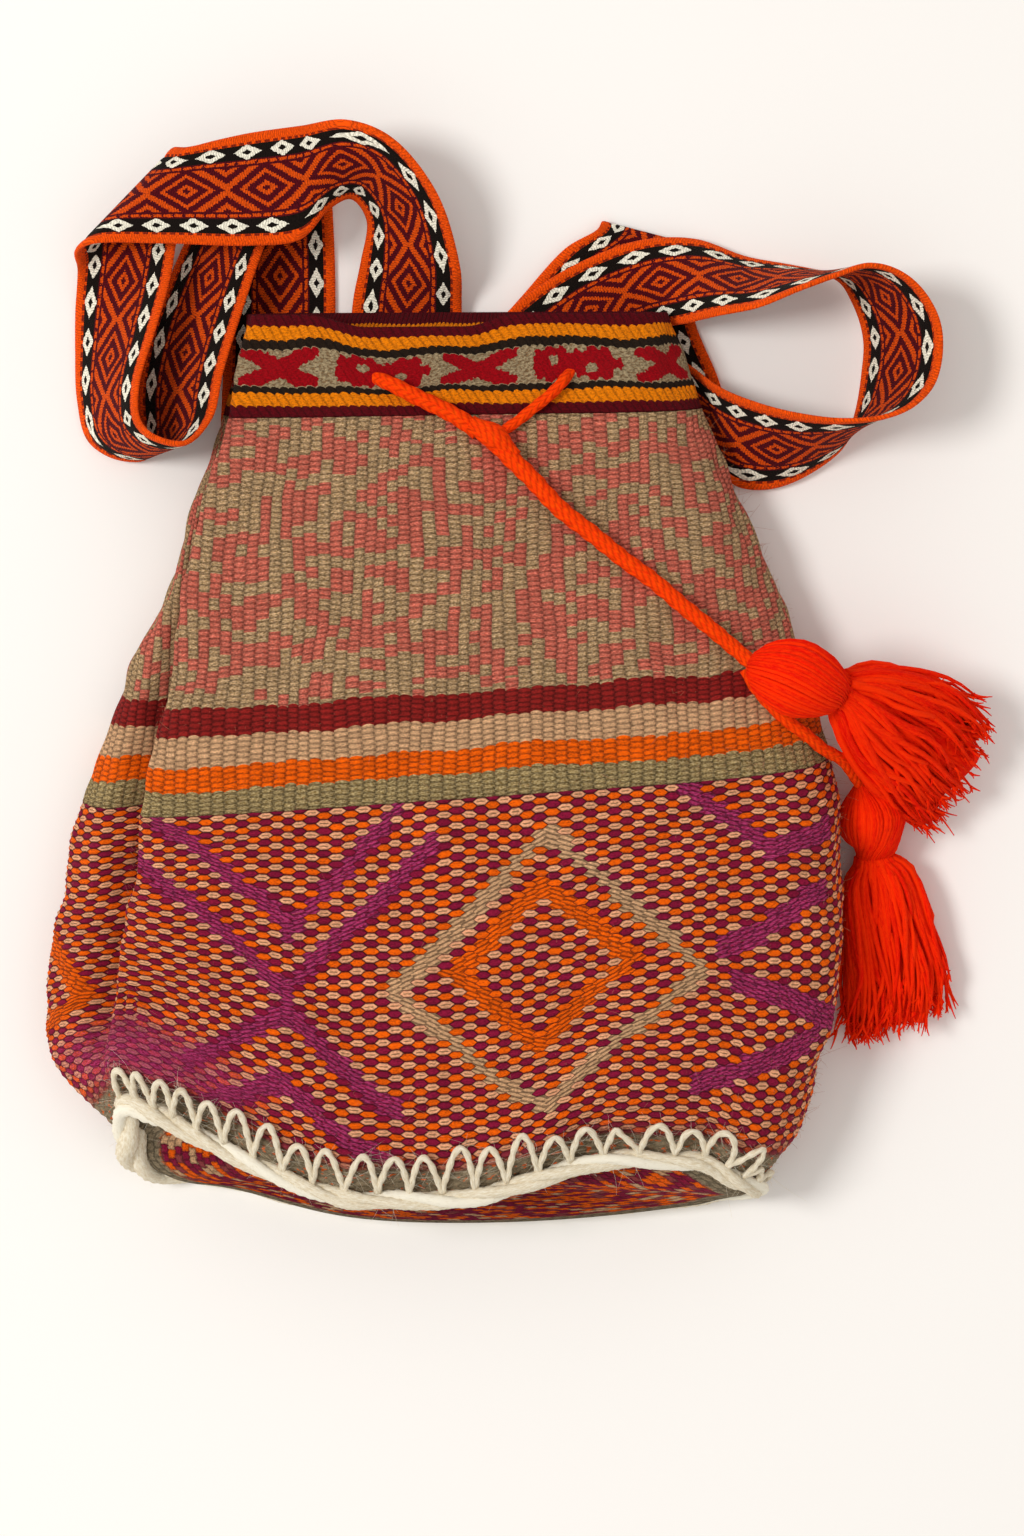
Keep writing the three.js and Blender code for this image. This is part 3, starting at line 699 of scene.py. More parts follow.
class Loom:
    """One procedural material and the nodes that weave it."""

    def __init__(self, name: str) -> None:
        """Starts an empty node tree with its shader.

        Args:
            name: Name of the material.
        """
        self.material = bpy.data.materials.new(name)
        self.material.use_nodes = True
        self.tree = self.material.node_tree
        self.tree.nodes.clear()
        self.shader = self.node("ShaderNodeBsdfPrincipled", {}, {})
        self.node("ShaderNodeOutputMaterial", {}, {"Surface": self.shader.outputs[0]})

    def node(self, kind: str, settings: dict, inputs: dict) -> bpy.types.Node:
        """Adds any node.

        Args:
            kind: The node's type.
            settings: Properties set before its sockets.
            inputs: Values, terms, colours or sockets by socket name, identifier or number.

        Returns:
            The node.
        """
        made = self.tree.nodes.new(kind)
        for key, value in settings.items():
            setattr(made, key, value)
        named = {s.name: s for s in reversed(made.inputs)} | {s.identifier: s for s in made.inputs}
        for key, value in inputs.items():
            self.feed(made.inputs[key] if isinstance(key, int) else named[key], value)
        return made

    def feed(self, socket: bpy.types.NodeSocket, value: Term | Paint | float) -> None:
        """Links a term or socket to a node's socket, or sets a colour or number on it.

        Args:
            socket: The socket to feed.
            value: What it gets.
        """
        if isinstance(value, Term):
            self.tree.links.new(value.socket, socket)
        elif isinstance(value, bpy.types.NodeSocket):
            self.tree.links.new(value, socket)
        else:
            socket.default_value = value.linear() if isinstance(value, Dye) else value

    def weave(self) -> tuple[Term, Term]:
        """The piece's own weave coordinates.

        Returns:
            Millimetres across and millimetres up.
        """
        place = self.node("ShaderNodeUVMap", {"uv_map": WEAVE_MAP}, {})
        split = self.node("ShaderNodeSeparateXYZ", {}, {0: place.outputs[0]})
        return Term(self, split.outputs[0]) * (1 / MM), Term(self, split.outputs[1]) * (1 / MM)

    def noise(self, x: Term, y: Term, seed: float = 0.0, detail: float = 2.0, rough: float = 0.5) -> Term:
        """Cloudy noise from 0 to 1 over two coordinates.

        Args:
            x: First coordinate, in clouds.
            y: Second coordinate.
            seed: Which noise.
            detail: How many finer layers it has.
            rough: How strong the finer layers are.

        Returns:
            The noise.
        """
        at = self.node("ShaderNodeCombineXYZ", {}, {0: x, 1: y, 2: seed})
        made = self.node("ShaderNodeTexNoise", {"noise_dimensions": "3D"},
                         {"Vector": at.outputs[0], "Scale": 1.0, "Detail": detail, "Roughness": rough})
        return Term(self, made.outputs[0])

    def heather(self, u: Term, v: Term, seed: float) -> Term:
        """Light of mixed wool: uneven fibres a millimetre long, round one."""
        return (self.noise(u * 0.7, v * 1.5, seed, 4.0, 0.75) - 0.5) * 2.9 + 1.0

    def chance(self, x: Term, y: Term | float, seed: float = 0.0) -> Term:
        """One random number from 0 to 1 for each whole x and y.

        Args:
            x: First whole number.
            y: Second whole number.
            seed: Which draw.

        Returns:
            The random number.
        """
        at = self.node("ShaderNodeCombineXYZ", {}, {0: x, 1: y, 2: seed})
        made = self.node("ShaderNodeTexWhiteNoise", {"noise_dimensions": "3D"}, {"Vector": at.outputs[0]})
        return Term(self, made.outputs[0])

    def mix(self, share: Term | float, under: Paint, over: Paint) -> bpy.types.NodeSocket:
        """Lays one colour over another by a share."""
        made = self.node("ShaderNodeMix", {"data_type": "RGBA"},
                         {"Factor_Float": share, "A_Color": under, "B_Color": over})
        return made.outputs[2]

    def layers(self, ground: Paint, *coats: tuple[Term, Paint]) -> Paint:
        """Lays colours over a ground in turn.

        Args:
            ground: The lowest colour.
            coats: The share and the colour of each coat.

        Returns:
            The colour that shows.
        """
        for share, paint in coats:
            ground = self.mix(share, ground, paint)
        return ground

    def shade(self, paint: bpy.types.NodeSocket, light: Term) -> bpy.types.NodeSocket:
        """Scales a colour's lightness."""
        made = self.node("ShaderNodeVectorMath", {"operation": "SCALE"}, {0: paint, "Scale": light})
        return made.outputs[0]

    def finish(self, paint: Paint, rough: Term | float, height: Term | None = None, depth: float = 0.6,
               sheen: float = 0.02) -> bpy.types.Material:
        """Joins colour, roughness and relief to the shader.

        Args:
            paint: Base colour.
            rough: Roughness.
            height: Relief from 0 to 1.
            depth: Millimetres that the relief stands for.
            sheen: Weight of the wool's soft sheen.

        Returns:
            The finished material.
        """
        values = {"Base Color": paint, "Roughness": rough, "Specular IOR Level": DULL_SPECULAR,
                  "Sheen Weight": sheen, "Sheen Roughness": SHEEN_ROUGH}
        if height is not None:
            relief = {"Strength": 1.0, "Distance": depth * MM, "Height": height}
            values["Normal"] = self.node("ShaderNodeBump", {}, relief).outputs[0]
        for name, value in values.items():
            self.feed(self.shader.inputs[name], value)
        return self.material


@dataclass(frozen=True)
class Weave:
    """Heights and pitches of the cloth, in millimetres, fitted to the bag's girth and height.

    The split is the height where the lower cloth ends, the collar that of the upper one.
    """

    girth: float
    front: float
    split: float
    collar: float
    top: float
    rib: float
    dot: float
    bar: float
    row: float
    hem: float = 12.8
    stripes: tuple = (12.0, 23.0, 36.5, 49.0)

    @classmethod
    def fitted(cls) -> "Weave":
        """Fits whole ribs, bars and rows and an even number of dot columns to the bag.

        Returns:
            The fitted cloth.
        """
        _, run = FORM.rings(np.array([FORM.widest]))
        girth, front = float(run[0, -1] - run[0, 0]), float(-run[0, 0])
        marks = np.interp([FORM.widest, FORM.band_from, FORM.top], *FORM.height())
        split, collar, top = (float(mark) for mark in marks)
        tall = collar - split
        return cls(girth=girth, front=front, split=split, collar=collar, top=top,
                   rib=girth / (2 * round(girth / 11.2)), dot=girth / (2 * round(girth / 11.0)),
                   bar=tall / round(tall / 2.45), row=split / round(split / 3.58))


WEAVE = Weave.fitted()


@dataclass(frozen=True)
class BirdsEyeCloth:
    """Lower cloth: beige, orange and purple dots with two diamonds and chevrons of solid colour.

    Strokes are straight from one place to another: millimetres across from the front's plumb line and up
    from the seam.
    """

    name: str = "birds_eye_wool"
    outer: tuple = (34.9, 99.5, 69.8, 72.0, 60.0, 0.068)
    inner: tuple = (32.4, 108.0, 40.0, 36.8, 36.0, 0.132)
    slope: float = 0.035
    back_shift: float = 296.0
    back_from: float = 215.0
    thick: float = 5.3
    past: float = 2.6
    worn_at: tuple = (-156.0, 42.0)
    worn_reach: tuple = (66.0, 26.0)
    worn_share: float = 0.84
    purple: tuple = (
        (-141, 183, -81, 130), (-81, 130, -36, 184), (-162, 170, -85, 99), (-85, 99, -18, 167),
        (-128, 46, -85, 88), (-85, 88, -35, 47), (-130, 19, -86, 54), (-86, 54, -36, 18),
        (97, 187, 135, 150), (135, 150, 166, 160), (112, 104, 163, 130), (122, 90, 186, 70),
        (102, 41, 164, 67),
    )
    orange: tuple = ((-242, 116, -203, 76), (-242, 50, -203, 76))

    def material(self) -> bpy.types.Material:
        """Weaves the dots, the solid figures, the worn corner and the hem, with painted shade at the dots'
        rims, in the beige dots' slits and between the floats of the figures.

        Returns:
            The finished material.
        """
        loom = Loom(self.name)
        u, v = loom.weave()
        col, brick, p, rim = self.cell(u, v)
        row, q = brick.floor(), brick.fract() - 0.5
        phase = row % 3.0
        beige, orange = phase < 0.5, abs(phase - 1.0) < 0.5
        across = (col + 0.5) * WEAVE.dot - WEAVE.front
        across = across - (across > self.back_from) * self.back_shift
        up = (row + 0.5 - (col % 2.0) * 1.5) * WEAVE.row
        tilted = up + across * self.slope
        beige_line, beige_lean = self.diamond(across, tilted, self.outer)
        orange_line, orange_lean = self.diamond(across, tilted, self.inner)
        side_line, side_lean = self.strokes(across, up, self.orange)
        purple_line, purple_lean = self.strokes(across, up, self.purple)
        solid = beige_line.most(orange_line.most(side_line)).most(purple_line)
        lean = beige_lean + orange_lean + side_lean + purple_lean
        stray = loom.noise(u * 0.9, v * 2.0, 3.0, 3.0, 0.6) - 0.5
        wool = loom.heather(u, v, 11.0)
        dot = (rim + stray * 0.8).ease(0.0, 0.6)
        # Painted shade: a dark slit across the middle of each beige dot, in the gap between its two legs.
        slit = (1.0 - (abs(q) + stray * 0.2).ease(0.03, 0.15)) * (1.0 - abs(p).ease(0.24, 0.44))
        figure = loom.mix(beige, loom.mix(orange, Dye.PURPLE, Dye.ORANGE), Dye.DOT_BEIGE)
        slant = v / 2.2 - lean * u / 4.9 + (col % 2.0) * 0.5
        lay = 1.0 - (abs(slant.fract() - 0.5) + abs(p) * 0.24 + stray * 0.4).ease(0.24, 0.5)
        rich = loom.mix(loom.noise(u * 0.5, v * 1.6, 7.0, 2.0).ease(0.34, 0.58), Dye.PURPLE, Dye.MAGENTA)
        lines = loom.mix(purple_line, loom.mix(beige_line, Dye.ORANGE, Dye.BEIGE), rich)
        beside = (across - self.worn_at[0]) / self.worn_reach[0]
        over = (v - self.worn_at[1]) / self.worn_reach[1]
        worn = (1.0 - (beside.span(over) + stray * 1.4).ease(0.4, 1.15)) * self.worn_share
        low = v - 4.0 - (0.0 - across).ease(62.0, 128.0) * 5.0 + across.ease(40.0, 90.0) * 3.0
        felt = (1.0 - low.ease(WEAVE.hem - 1.0, WEAVE.hem + 10.0)) * (0.75 + stray * 0.8)
        hem = 1.0 - (low + stray * 5.0).ease(WEAVE.hem - 1.5, WEAVE.hem + 1.0)
        speck = loom.noise(u * 0.25, v * 0.5, 5.0, 1.0).ease(0.6, 0.68)
        paint = loom.layers(
            Dye.GROUND, (dot, figure), (slit * beige * 0.8, Dye.SLIT),
            # Painted highlight along each float of the figures and painted shade between the floats.
            (solid, loom.shade(lines, lay * 0.72 + 0.44)), (worn, rich), (felt.least(1.0), Dye.FELT),
            (hem, loom.mix(speck * 0.8, Dye.HEM, Dye.ORANGE)),
        )
        # Painted shade: each dot is lighter in its middle and darker toward its rim, lit like a round bump.
        painted_dot_shade = (rim.ease(0.0, 1.4) * 0.34 + 0.78) * (1.0 - solid) + solid
        paint = loom.shade(paint, wool * painted_dot_shade * (loom.chance(col, row, 6.0) * 0.26 + 0.9))
        height = dot * (1.0 - solid) * (1.0 - hem) + lay * solid * 0.8 + wool * 0.45
        return loom.finish(paint, rough=0.92, height=height, depth=0.9)

    @staticmethod
    def cell(u: Term, v: Term) -> tuple[Term, Term, Term, Term]:
        """The dot a place belongs to: the nearest middle, in columns that stand half a row off each other.

        With p across in columns and q up in rows, the nearness is p^2 + 1.7 q^2.

        Args:
            u: Millimetres across.
            v: Millimetres up.

        Returns:
            Column, rows up it, share across from its middle, and millimetres in from the dot's edge.
        """
        col = (u / WEAVE.dot).floor()
        brick = v / WEAVE.row + (col % 2.0) * 1.5
        p, q = (u / WEAVE.dot).fract() - 0.5, brick.fract() - 0.5
        side = (p > 0.0) * 2.0 - 1.0
        p_next, q_next = p - side, (brick + 0.5).fract() - 0.5
        more = p_next * p_next - p * p + (q_next * q_next - q * q) * 1.7
        swap = more < 0.0
        col = col + swap * side
        brick = v / WEAVE.row + (col % 2.0) * 1.5
        rim = (abs(more) * (WEAVE.dot / 2)).least((0.5 - abs(brick.fract() - 0.5)) * WEAVE.row)
        return col, brick, p - swap * side, rim

    @staticmethod
    def diamond(across: Term, up: Term, shape: tuple) -> tuple[Term, Term]:
        """Outline of a diamond, where |x|/a + |y|/b is near one, and the lean of the floats in it.

        Args:
            across: Millimetres across.
            up: Millimetres up.
            shape: Centre, half width, heights over and under it, and half thickness as a share.

        Returns:
            The outline, and the lean with its sign.
        """
        x, off = (across - shape[0]) / shape[2], up - shape[1]
        y = off / ((off > 0.0) * (shape[3] - shape[4]) + shape[4])
        line = abs(abs(x) + abs(y) - 1.0) < shape[5]
        return line, line * (1.0 - (x * y > 0.0) * 2.0)

    def strokes(self, across: Term, up: Term, strokes: Sequence[tuple]) -> tuple[Term, Term]:
        """Straight strokes: one where the height off a stroke's line is under half its thickness.

        Args:
            across: Millimetres across.
            up: Millimetres up.
            strokes: Both ends of each stroke.

        Returns:
            The strokes, and the lean of the floats in them with its sign.
        """
        made, lean = across * 0.0, across * 0.0
        for x0, y0, x1, y1 in strokes:
            line = (across - x0) * ((y1 - y0) / (x1 - x0)) + y0
            mask = (abs(up - line) < self.thick) * (across > x0 - self.past) * (across < x1 + self.past)
            made, lean = made.most(mask), lean + mask * math.copysign(1.0, y1 - y0)
        return made, lean


@dataclass(frozen=True)
class MazeCloth:
    """Upper cloth: pink and grey-green blocks on ribs, over four plain stripes."""

    name: str = "maze_wool"
    pink_from: float = 0.62

    def material(self) -> bpy.types.Material:
        """Weaves the ribs, the blocks and the stripes, with painted shade in the grooves between ribs and the
        gaps between bars.

        Returns:
            The finished material.
        """
        loom = Loom(self.name)
        u, v = loom.weave()
        rib = (u / WEAVE.rib).floor()
        p = (u / WEAVE.rib).fract() - 0.5
        lift = v - WEAVE.split
        bars = lift / WEAVE.bar + (rib % 2.0) * 0.5
        q = bars.fract() - 0.5
        block = (bars / 2.2 + loom.chance(rib, 1.0) * 0.8).floor()
        patch = loom.noise(rib * 0.5, block * 0.56, 0.0, 0.0) + (loom.chance(rib, block) - 0.5) * 0.36
        edge = lift.ease(50.0, 62.0) * (1.0 - lift.ease(164.0, 177.0) * 0.6)
        pink = patch > self.pink_from - edge * 0.13
        high = lift + (loom.chance(rib, 9.0) - 0.5) * 1.6 + p * p * 3.0
        strand = loom.noise(u * 0.7 + v * 0.5, v * 2.2 - u * 0.3, 13.0, 2.0, 0.6).ease(0.38, 0.62)
        moss, sage, rose = (loom.mix(strand, *dyes) for dyes in (
            (Dye.MOSS, Dye.GREY_GREEN), (Dye.SAGE_DEEP, Dye.SAGE), (Dye.PINK_DEEP, Dye.PINK)))
        stripes = zip(reversed(WEAVE.stripes), (Dye.STRIPE_MAROON, Dye.BEIGE, Dye.ORANGE, moss))
        paint = loom.layers(sage, (pink, rose), *((high < top, dye) for top, dye in stripes))
        stray = loom.noise(u * 0.6, v * 1.4, 2.0, 3.0, 0.65) - 0.5
        wool = loom.heather(u, v, 8.0)
        groove = (abs(p) + stray * 0.5).ease(0.3, 0.56)
        gap = (abs(q) + p * p * 0.3 + stray * 0.5).ease(0.16, 0.54)
        tone = loom.chance(rib, bars.floor(), 3.0) * 0.24 + 0.98
        # Painted shade in the grooves between ribs and the gaps between bars, over the random tone of the
        # wool and of each bar.
        light = wool * tone * (1.0 - groove * 0.24) * (1.1 - gap * 0.62)
        height = (1.0 - groove) * (0.5 + (1.0 - gap) * 0.5) + wool * 0.45
        return loom.finish(loom.shade(paint, light), rough=0.92, height=height, depth=0.9)


@dataclass(frozen=True)
class BandCloth:
    """Mouth band: plain stripes round a strip of red crosses and lobed flowers on grey cream."""

    name: str = "band_wool"
    rope: float = 4.6
    pitch: float = 50.0
    off: float = 4.3
    edges: tuple = (4.6, 10.0, 12.6, 27.7, 31.4, 36.6)

    def material(self) -> bpy.types.Material:
        """Weaves the stripes and the two figures in turn, with painted shade in the grooves between the
        ropes.

        Returns:
            The finished material.
        """
        loom = Loom(self.name)
        u, v = loom.weave()
        v = v - WEAVE.collar
        stray = loom.noise(u * 0.5, v * 0.9, 4.0, 3.0, 0.65) - 0.5
        p = ((u + v * 0.8) / self.rope).fract() - 0.5
        high = v + p * p * 3.2 + stray * 1.2 - 0.3
        low, top = self.edges[2:4]
        x = u - (WEAVE.front + self.off) + (loom.noise(u * 0.45, v * 0.45, 1.0) - 0.5) * 5.0
        y = v - (low + top) / 2 + (loom.noise(u * 0.5, v * 0.5, 2.0) - 0.5) * 3.4
        place = x / self.pitch + 0.5
        local = (place.fract() - 0.5) * self.pitch
        odd = place.floor() % 2.0
        figure = (self.cross(local, y) * (1.0 - odd)).most(self.flower(local, y) * odd)
        inside = (high > low + 0.3) * (high < top - 0.2)
        ground = inside * (1.0 - figure)
        tweed = loom.noise(u * 0.5 + v * 0.3, v * 1.1 - u * 0.2, 9.0, 2.0, 0.6).ease(0.36, 0.56)
        dyes = (Dye.YELLOW, Dye.BLACK, Dye.CREAM, Dye.BLACK, Dye.YELLOW, Dye.BAND_MAROON)
        paint = loom.layers(
            Dye.BAND_MAROON, *((high > bottom, dye) for bottom, dye in zip(self.edges, dyes)),
            (figure * inside, Dye.RED), (ground * (1.0 - tweed) * 0.8, Dye.SLIT),
        )
        wool = loom.heather(u, v, 6.0)
        groove = (abs(p) + stray * 0.3).ease(0.24, 0.52) * (1.0 - inside * 0.6)
        height = (1.0 - groove) * 0.7 + wool * 0.5 + tweed * ground * 0.6
        # Painted shade in the grooves between the ropes, over the wool's random tone.
        light = wool * (1.1 - groove * 0.34)
        return loom.finish(loom.shade(paint, light), rough=0.92, height=height, depth=0.9)

    @staticmethod
    def cross(x: Term, y: Term) -> Term:
        """Two thick crossed arms: the shares of half width and half height differ by less than a part."""
        return (abs(abs(x) / 17.5 - abs(y) / 7.0) < 0.5) * (abs(x) < 19.5)

    @staticmethod
    def flower(x: Term, y: Term) -> Term:
        """Two wavy lobes side by side, joined at a waist, less a small eye in each.

        Args:
            x: Millimetres across from its middle.
            y: Millimetres up from its middle.

        Returns:
            One inside it, zero elsewhere.
        """
        lobes = ((abs(x) - 11.5) / 11.5).span(y / 7.4) < (x * 0.85).wave() * 0.13 + 0.98
        left = ((x + 10.0) * 0.6708).span(y - 1.6) > 1.9
        right = ((x - 9.0) * 0.6708).span(y + 1.8) > 2.0
        return lobes.most((abs(x) < 5.0) * (abs(y) < 4.0)) * left * right


@dataclass(frozen=True)
class StrapCloth:
    """Strap: rolled orange edges, black borders with white eyes, and maroon diamonds on orange."""

    name: str = "strap_wool"
    width: float = 54.0
    diamond: float = 37.0
    eye: float = 17.5
    pick: float = 1.15
    roll: float = 5.6

    def material(self) -> bpy.types.Material:
        """Weaves the strap by its distance from the nearer edge, with painted shade between the picks.

        Returns:
            The finished material.
        """
        loom = Loom(self.name)
        s, w = loom.weave()
        side = w.least(self.width - w)
        half = abs(w - self.width / 2)
        pick = (s / self.pick).floor()
        stray = loom.noise(s * 0.6, w * 0.6, 7.0, 2.0, 0.6) - 0.5
        ring = abs((pick * self.pick / self.diamond).fract() - 0.5) * 2.0 + half / 13.5 + stray * 0.16
        far = 2.0 - ring
        maroon = (ring < 0.12).most(self.near(ring, 0.41, 0.13)).most(self.near(ring, 0.82, 0.13))
        maroon = maroon.most(self.near(far, 0.66, 0.13)).most(far < 0.34)
        dash = ((s / 5.0 + stray).fract() > 0.25) * self.near(side + stray * 1.4, 14.3, 0.75)
        e = ((s / self.eye + (w > self.width / 2) * 0.5).fract() - 0.5) * self.eye
        lens = abs(e) / 6.9 + abs(side - 9.2) / 3.9 + stray * 0.5
        border = (side > self.roll) * (side < 12.8)
        stitch = self.near(side, 5.0, 0.55) * ((s / 4.2).fract() < 0.6)
        paint = loom.layers(
            Dye.STRAP_ORANGE, (maroon, Dye.STRAP_MAROON), (side < 16.2, Dye.STRAP_MAROON),
            (dash, Dye.STRAP_ORANGE), (border, Dye.STRAP_BLACK),
            (border * (lens < 1.0) * (lens > 0.36), Dye.WHITE), (side < self.roll, Dye.STRAP_EDGE),
            (stitch * 0.8, Dye.STRAP_MAROON),
        )
        fuzz = loom.noise(s * 2.2, w * 0.9, 1.0, 3.0, 0.65)
        picks = (s / self.pick + (w * 1.2).wave() * 0.3).hump()
        ends = (w / 1.5 + pick * 0.5).hump()
        # Painted highlight along each pick and painted shade between the picks, over the wool's random tone.
        light = loom.heather(w, s, 9.0) * (picks.ease(0.0, 0.8) * 0.3 + 0.72)
        height = picks * 0.45 + ends * 0.35 + fuzz * 0.35
        return loom.finish(loom.shade(paint, light), rough=0.9, height=height, depth=0.45)

    @staticmethod
    def near(value: Term, middle: float, reach: float) -> Term:
        """One where a value is near a middle."""
        return abs(value - middle) < reach


@dataclass(frozen=True)
class Yarn:
    """Spun wool of one colour, each yarn in its own tone, with painted shade between its fibres."""

    name: str
    light: Dye
    deep: Dye
    braid: float = 0.0

    def material(self) -> bpy.types.Material:
        """Streaks the colour along the yarn, each in its own tone, with painted shade where the streaks'
        relief is low and between the chevrons where it is braided.

        Returns:
            The finished material.
        """
        loom = Loom(self.name)
        a, s = loom.weave()
        streak = loom.noise(a * 1.3, s * 0.32 + a * 0.4, 2.0, 4.0, 0.7)
        tone = loom.chance((a / YARN_APART).floor(), 3.0)
        # Painted shade: the deep dye falls where the streak, which is also the relief, is low, between the
        # fibres; each yarn's own random tone shifts it.
        paint = loom.mix((streak * 0.8 + tone * 0.24 - 0.02).ease(0.26, 0.62), self.deep, self.light)
        height = streak
        if self.braid:
            lay = (s / self.braid + abs((a / 7.0).fract() - 0.5) * 2.0).hump()
            # Painted highlight along each chevron of the braid and painted shade between them.
            paint = loom.shade(paint, lay * 0.32 + 0.74)
            height = streak * 0.6 + lay * 0.9
        return loom.finish(paint, rough=0.9, height=height, depth=0.4, sheen=0.0)


@dataclass(frozen=True)
class BaseCloth:
    """Base: a felted hem at its rim, then slubs of orange, purple and grey laid round it."""

    name: str = "base_wool"
    hem: float = 14.0
    slub: float = 7.0
    row: float = 2.9

    def material(self) -> bpy.types.Material:
        """Weaves the hem and the slubs, with painted shade in the gaps between slubs and between rows.

        Returns:
            The finished material.
        """
        loom = Loom(self.name)
        u, v = loom.weave()
        stray = loom.noise(u * 0.5, v * 0.9, 5.0, 3.0, 0.6) - 0.5
        wool = loom.heather(u, v, 6.0)
        lines = v / self.row + stray * 0.9
        row = lines.floor()
        ends = u / self.slub + (row % 2.0) * 0.5 + stray * 0.5
        pick = loom.chance(ends.floor(), row, 3.0)
        hem = 1.0 - (v + stray * 5.0).ease(self.hem - 1.0, self.hem + 1.5)
        paint = loom.layers(Dye.ORANGE, (pick > 0.34, Dye.PURPLE), (pick > 0.72, Dye.FELT),
                            (pick > 0.88, Dye.BEIGE), (hem, Dye.HEM))
        gap = abs(lines.fract() - 0.5).most(abs(ends.fract() - 0.5)).ease(0.3, 0.52)
        # Painted shade in the gaps between slubs and rows, over the wool's random tone.
        light = wool * (1.05 - gap * 0.5)
        return loom.finish(loom.shade(paint, light), rough=0.92, height=1.0 - gap + wool * 0.5, depth=0.9)


def settle(piece: bpy.types.Object, material: bpy.types.Material, slot: str,
           *nodes: str) -> bpy.types.Object:
    """Dresses a piece and ties it to the shared frame.

    Args:
        piece: The finished piece.
        material: Its finish.
        slot: Not used.
        nodes: The plain solids that it stands for.

    Returns:
        The same piece.
    """
    piece.data.materials.append(material)
    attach(piece, ROOT)
    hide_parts(*nodes)
    LOG.info("%s: %d faces", piece.name, len(piece.data.polygons))
    return piece


